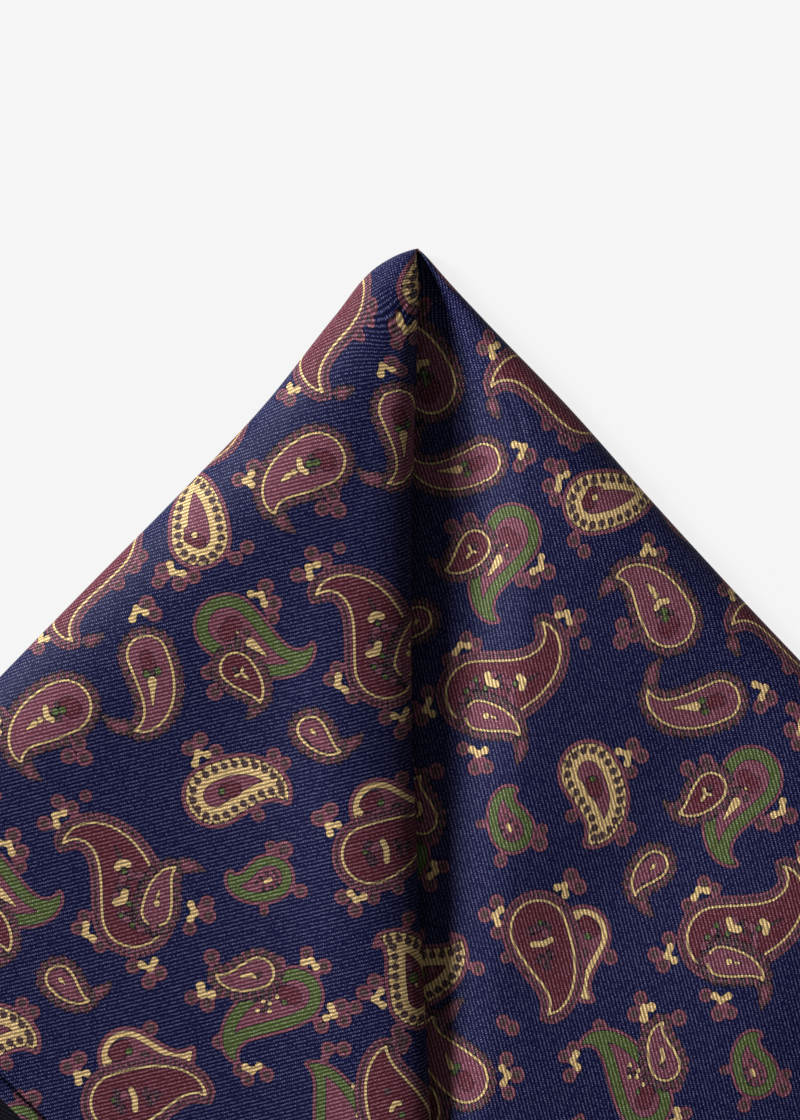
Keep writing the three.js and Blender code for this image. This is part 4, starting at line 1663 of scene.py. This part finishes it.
@dataclass
class Studio:
    """A pale floor, a large soft light from the upper left, and a camera straight above."""

    frame_height: float = 212.1
    centre: Point = (-3.2, -59.1)  # from the peak
    lens: float = 150.0
    sensor: float = 36.0
    level: float = 5.0  # the frame's height is measured this far above the floor
    surroundings: float = 0.13
    lamp_place: tuple[float, float, float] = (-4.0, 2.0, 2.0)  # in metres
    lamp_aim: tuple[float, float, float] = (0.0, 0.05, 0.0)
    lamp_size: float = 1.4  # in metres
    lamp_power: float = 500.0  # in watts

    def build(self) -> None:
        """Adds the floor, the lights, the surroundings and the camera."""
        scene = bpy.context.scene
        scene.view_settings.view_transform = "Standard"
        self._floor()
        self._lamp()
        world = bpy.data.worlds.new("studio")
        world.use_nodes = True
        back = world.node_tree.nodes["Background"]
        back.inputs["Color"].default_value = (1, 1, 1, 1)
        back.inputs["Strength"].default_value = self.surroundings
        scene.world = world
        data = bpy.data.cameras.new("camera")
        data.lens, data.sensor_width = self.lens, self.sensor
        camera = bpy.data.objects.new("camera", data)
        distance = self.frame_height * self.lens / self.sensor
        x, y = PEAK[0] + self.centre[0], PEAK[1] + self.centre[1]
        camera.location = (x * MM, y * MM, (distance + self.level) * MM)
        data.clip_start, data.clip_end = 0.05, 20
        scene.collection.objects.link(camera)
        scene.camera = camera

    def _floor(self) -> None:
        """A wide flat floor just under the cloth."""
        half, low = 3.0, -0.0002
        mesh = bpy.data.meshes.new("floor")
        corners = [(-half, -half, low), (half, -half, low), (half, half, low), (-half, half, low)]
        mesh.from_pydata(corners, [], [(0, 1, 2, 3)])
        mesh.materials.append(Backdrop().build())
        floor = bpy.data.objects.new("floor", mesh)
        bpy.context.scene.collection.objects.link(floor)

    def _lamp(self) -> None:
        """A large soft lamp, far off and low on the upper left."""
        data = bpy.data.lights.new("key", "AREA")
        data.shape, data.size, data.energy = "DISK", self.lamp_size, self.lamp_power
        lamp = bpy.data.objects.new("key", data)
        lamp.location = self.lamp_place
        x, y, z = np.subtract(self.lamp_place, self.lamp_aim)
        lamp.rotation_euler = (math.atan2(math.hypot(x, y), z), 0, math.atan2(y, x) + math.pi / 2)
        bpy.context.scene.collection.objects.link(lamp)


# ---- the whole ---------------------------------------------------------------------------------


@dataclass
class Lobe:
    """One stretch of cloth that shows, with its hem."""

    name: str
    fold: Fold
    stretch: dict
    hem: dict

    def build(self, silk: bpy.types.Material) -> list[bpy.types.Object]:
        """Args:
            silk: The cloth's material.

        Returns:
            The stretch and the hem.
        """
        lobe = Stretch(self.name + "_cloth", self.fold, **self.stretch).build()
        turned = Hem(self.name + "_turned_edge", self.fold, **self.hem)
        hem = turned.build()
        for item, node, slot in ((lobe, "_lobe", "printed_silk"), (hem, "_hem", "turned_hem")):
            PAISLEY.dress(item)
            settle(item, self.name + node, silk, slot)
        turned.paint_thread_and_shade(hem)
        return [lobe, hem]

    def declare(self, lobe: bpy.types.Object, hem: bpy.types.Object, rests_on: list[str]) -> None:
        """Works out the length that the turns at both ends take, and does nothing more with it.

        Args:
            lobe: Not used.
            hem: Not used.
            rests_on: Not used.
        """
        turned = 0.0 if isinstance(self.fold, Back) else CURL + TURNED_BACK


def settle(item: bpy.types.Object, node: str, material: bpy.types.Material, slot: str) -> None:
    """Gives a piece its material and body, hides the CAD node that it replaces, and logs its face count.

    Args:
        item: The piece.
        node: The CAD node that it replaces.
        material: Its material.
        slot: Not used.
    """
    item.data.materials.append(material)
    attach(item, "root")
    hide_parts(node)
    log.info("%s: %d faces", item.name, len(item.data.polygons))


def main() -> None:
    """Builds every piece in order and dresses it."""
    silk = Silk("printed_silk_twill").build()
    # the hidden layers' wrong side, coloured near black as painted shade
    inside = Silk("silk_wrong_side_painted_shade", printed=False, painted_float_sheen="#14141A").build()
    level, lifted = {"rows": 288, "start": BACK_START}, {"base": 0.8}
    lobes = (
        Lobe("front_left", LEFT_FOLD, {}, {}),
        Lobe("front_right", RIGHT_FOLD, {}, {}),
        Lobe("back_left", LEFT_FOLD.behind(), level, lifted),
        Lobe("back_right", RIGHT_FOLD.behind(), level, lifted),
    )
    built = [(lobe, *lobe.build(silk)) for lobe in lobes]
    layers = Layers("pleat_layers").build()
    settle(layers, "folded_layers", inside, "wrong_side")
    for lobe, stretch, hem in built:
        lobe.declare(stretch, hem, [] if isinstance(lobe.fold, Back) else [layers.name])
    # the one solid stands for nine tenths of the flat area of the two lobes over it
    [stretch.name for _, stretch, _ in built[2:]]
    Studio().build()


if __name__ == "__main__":
    main()
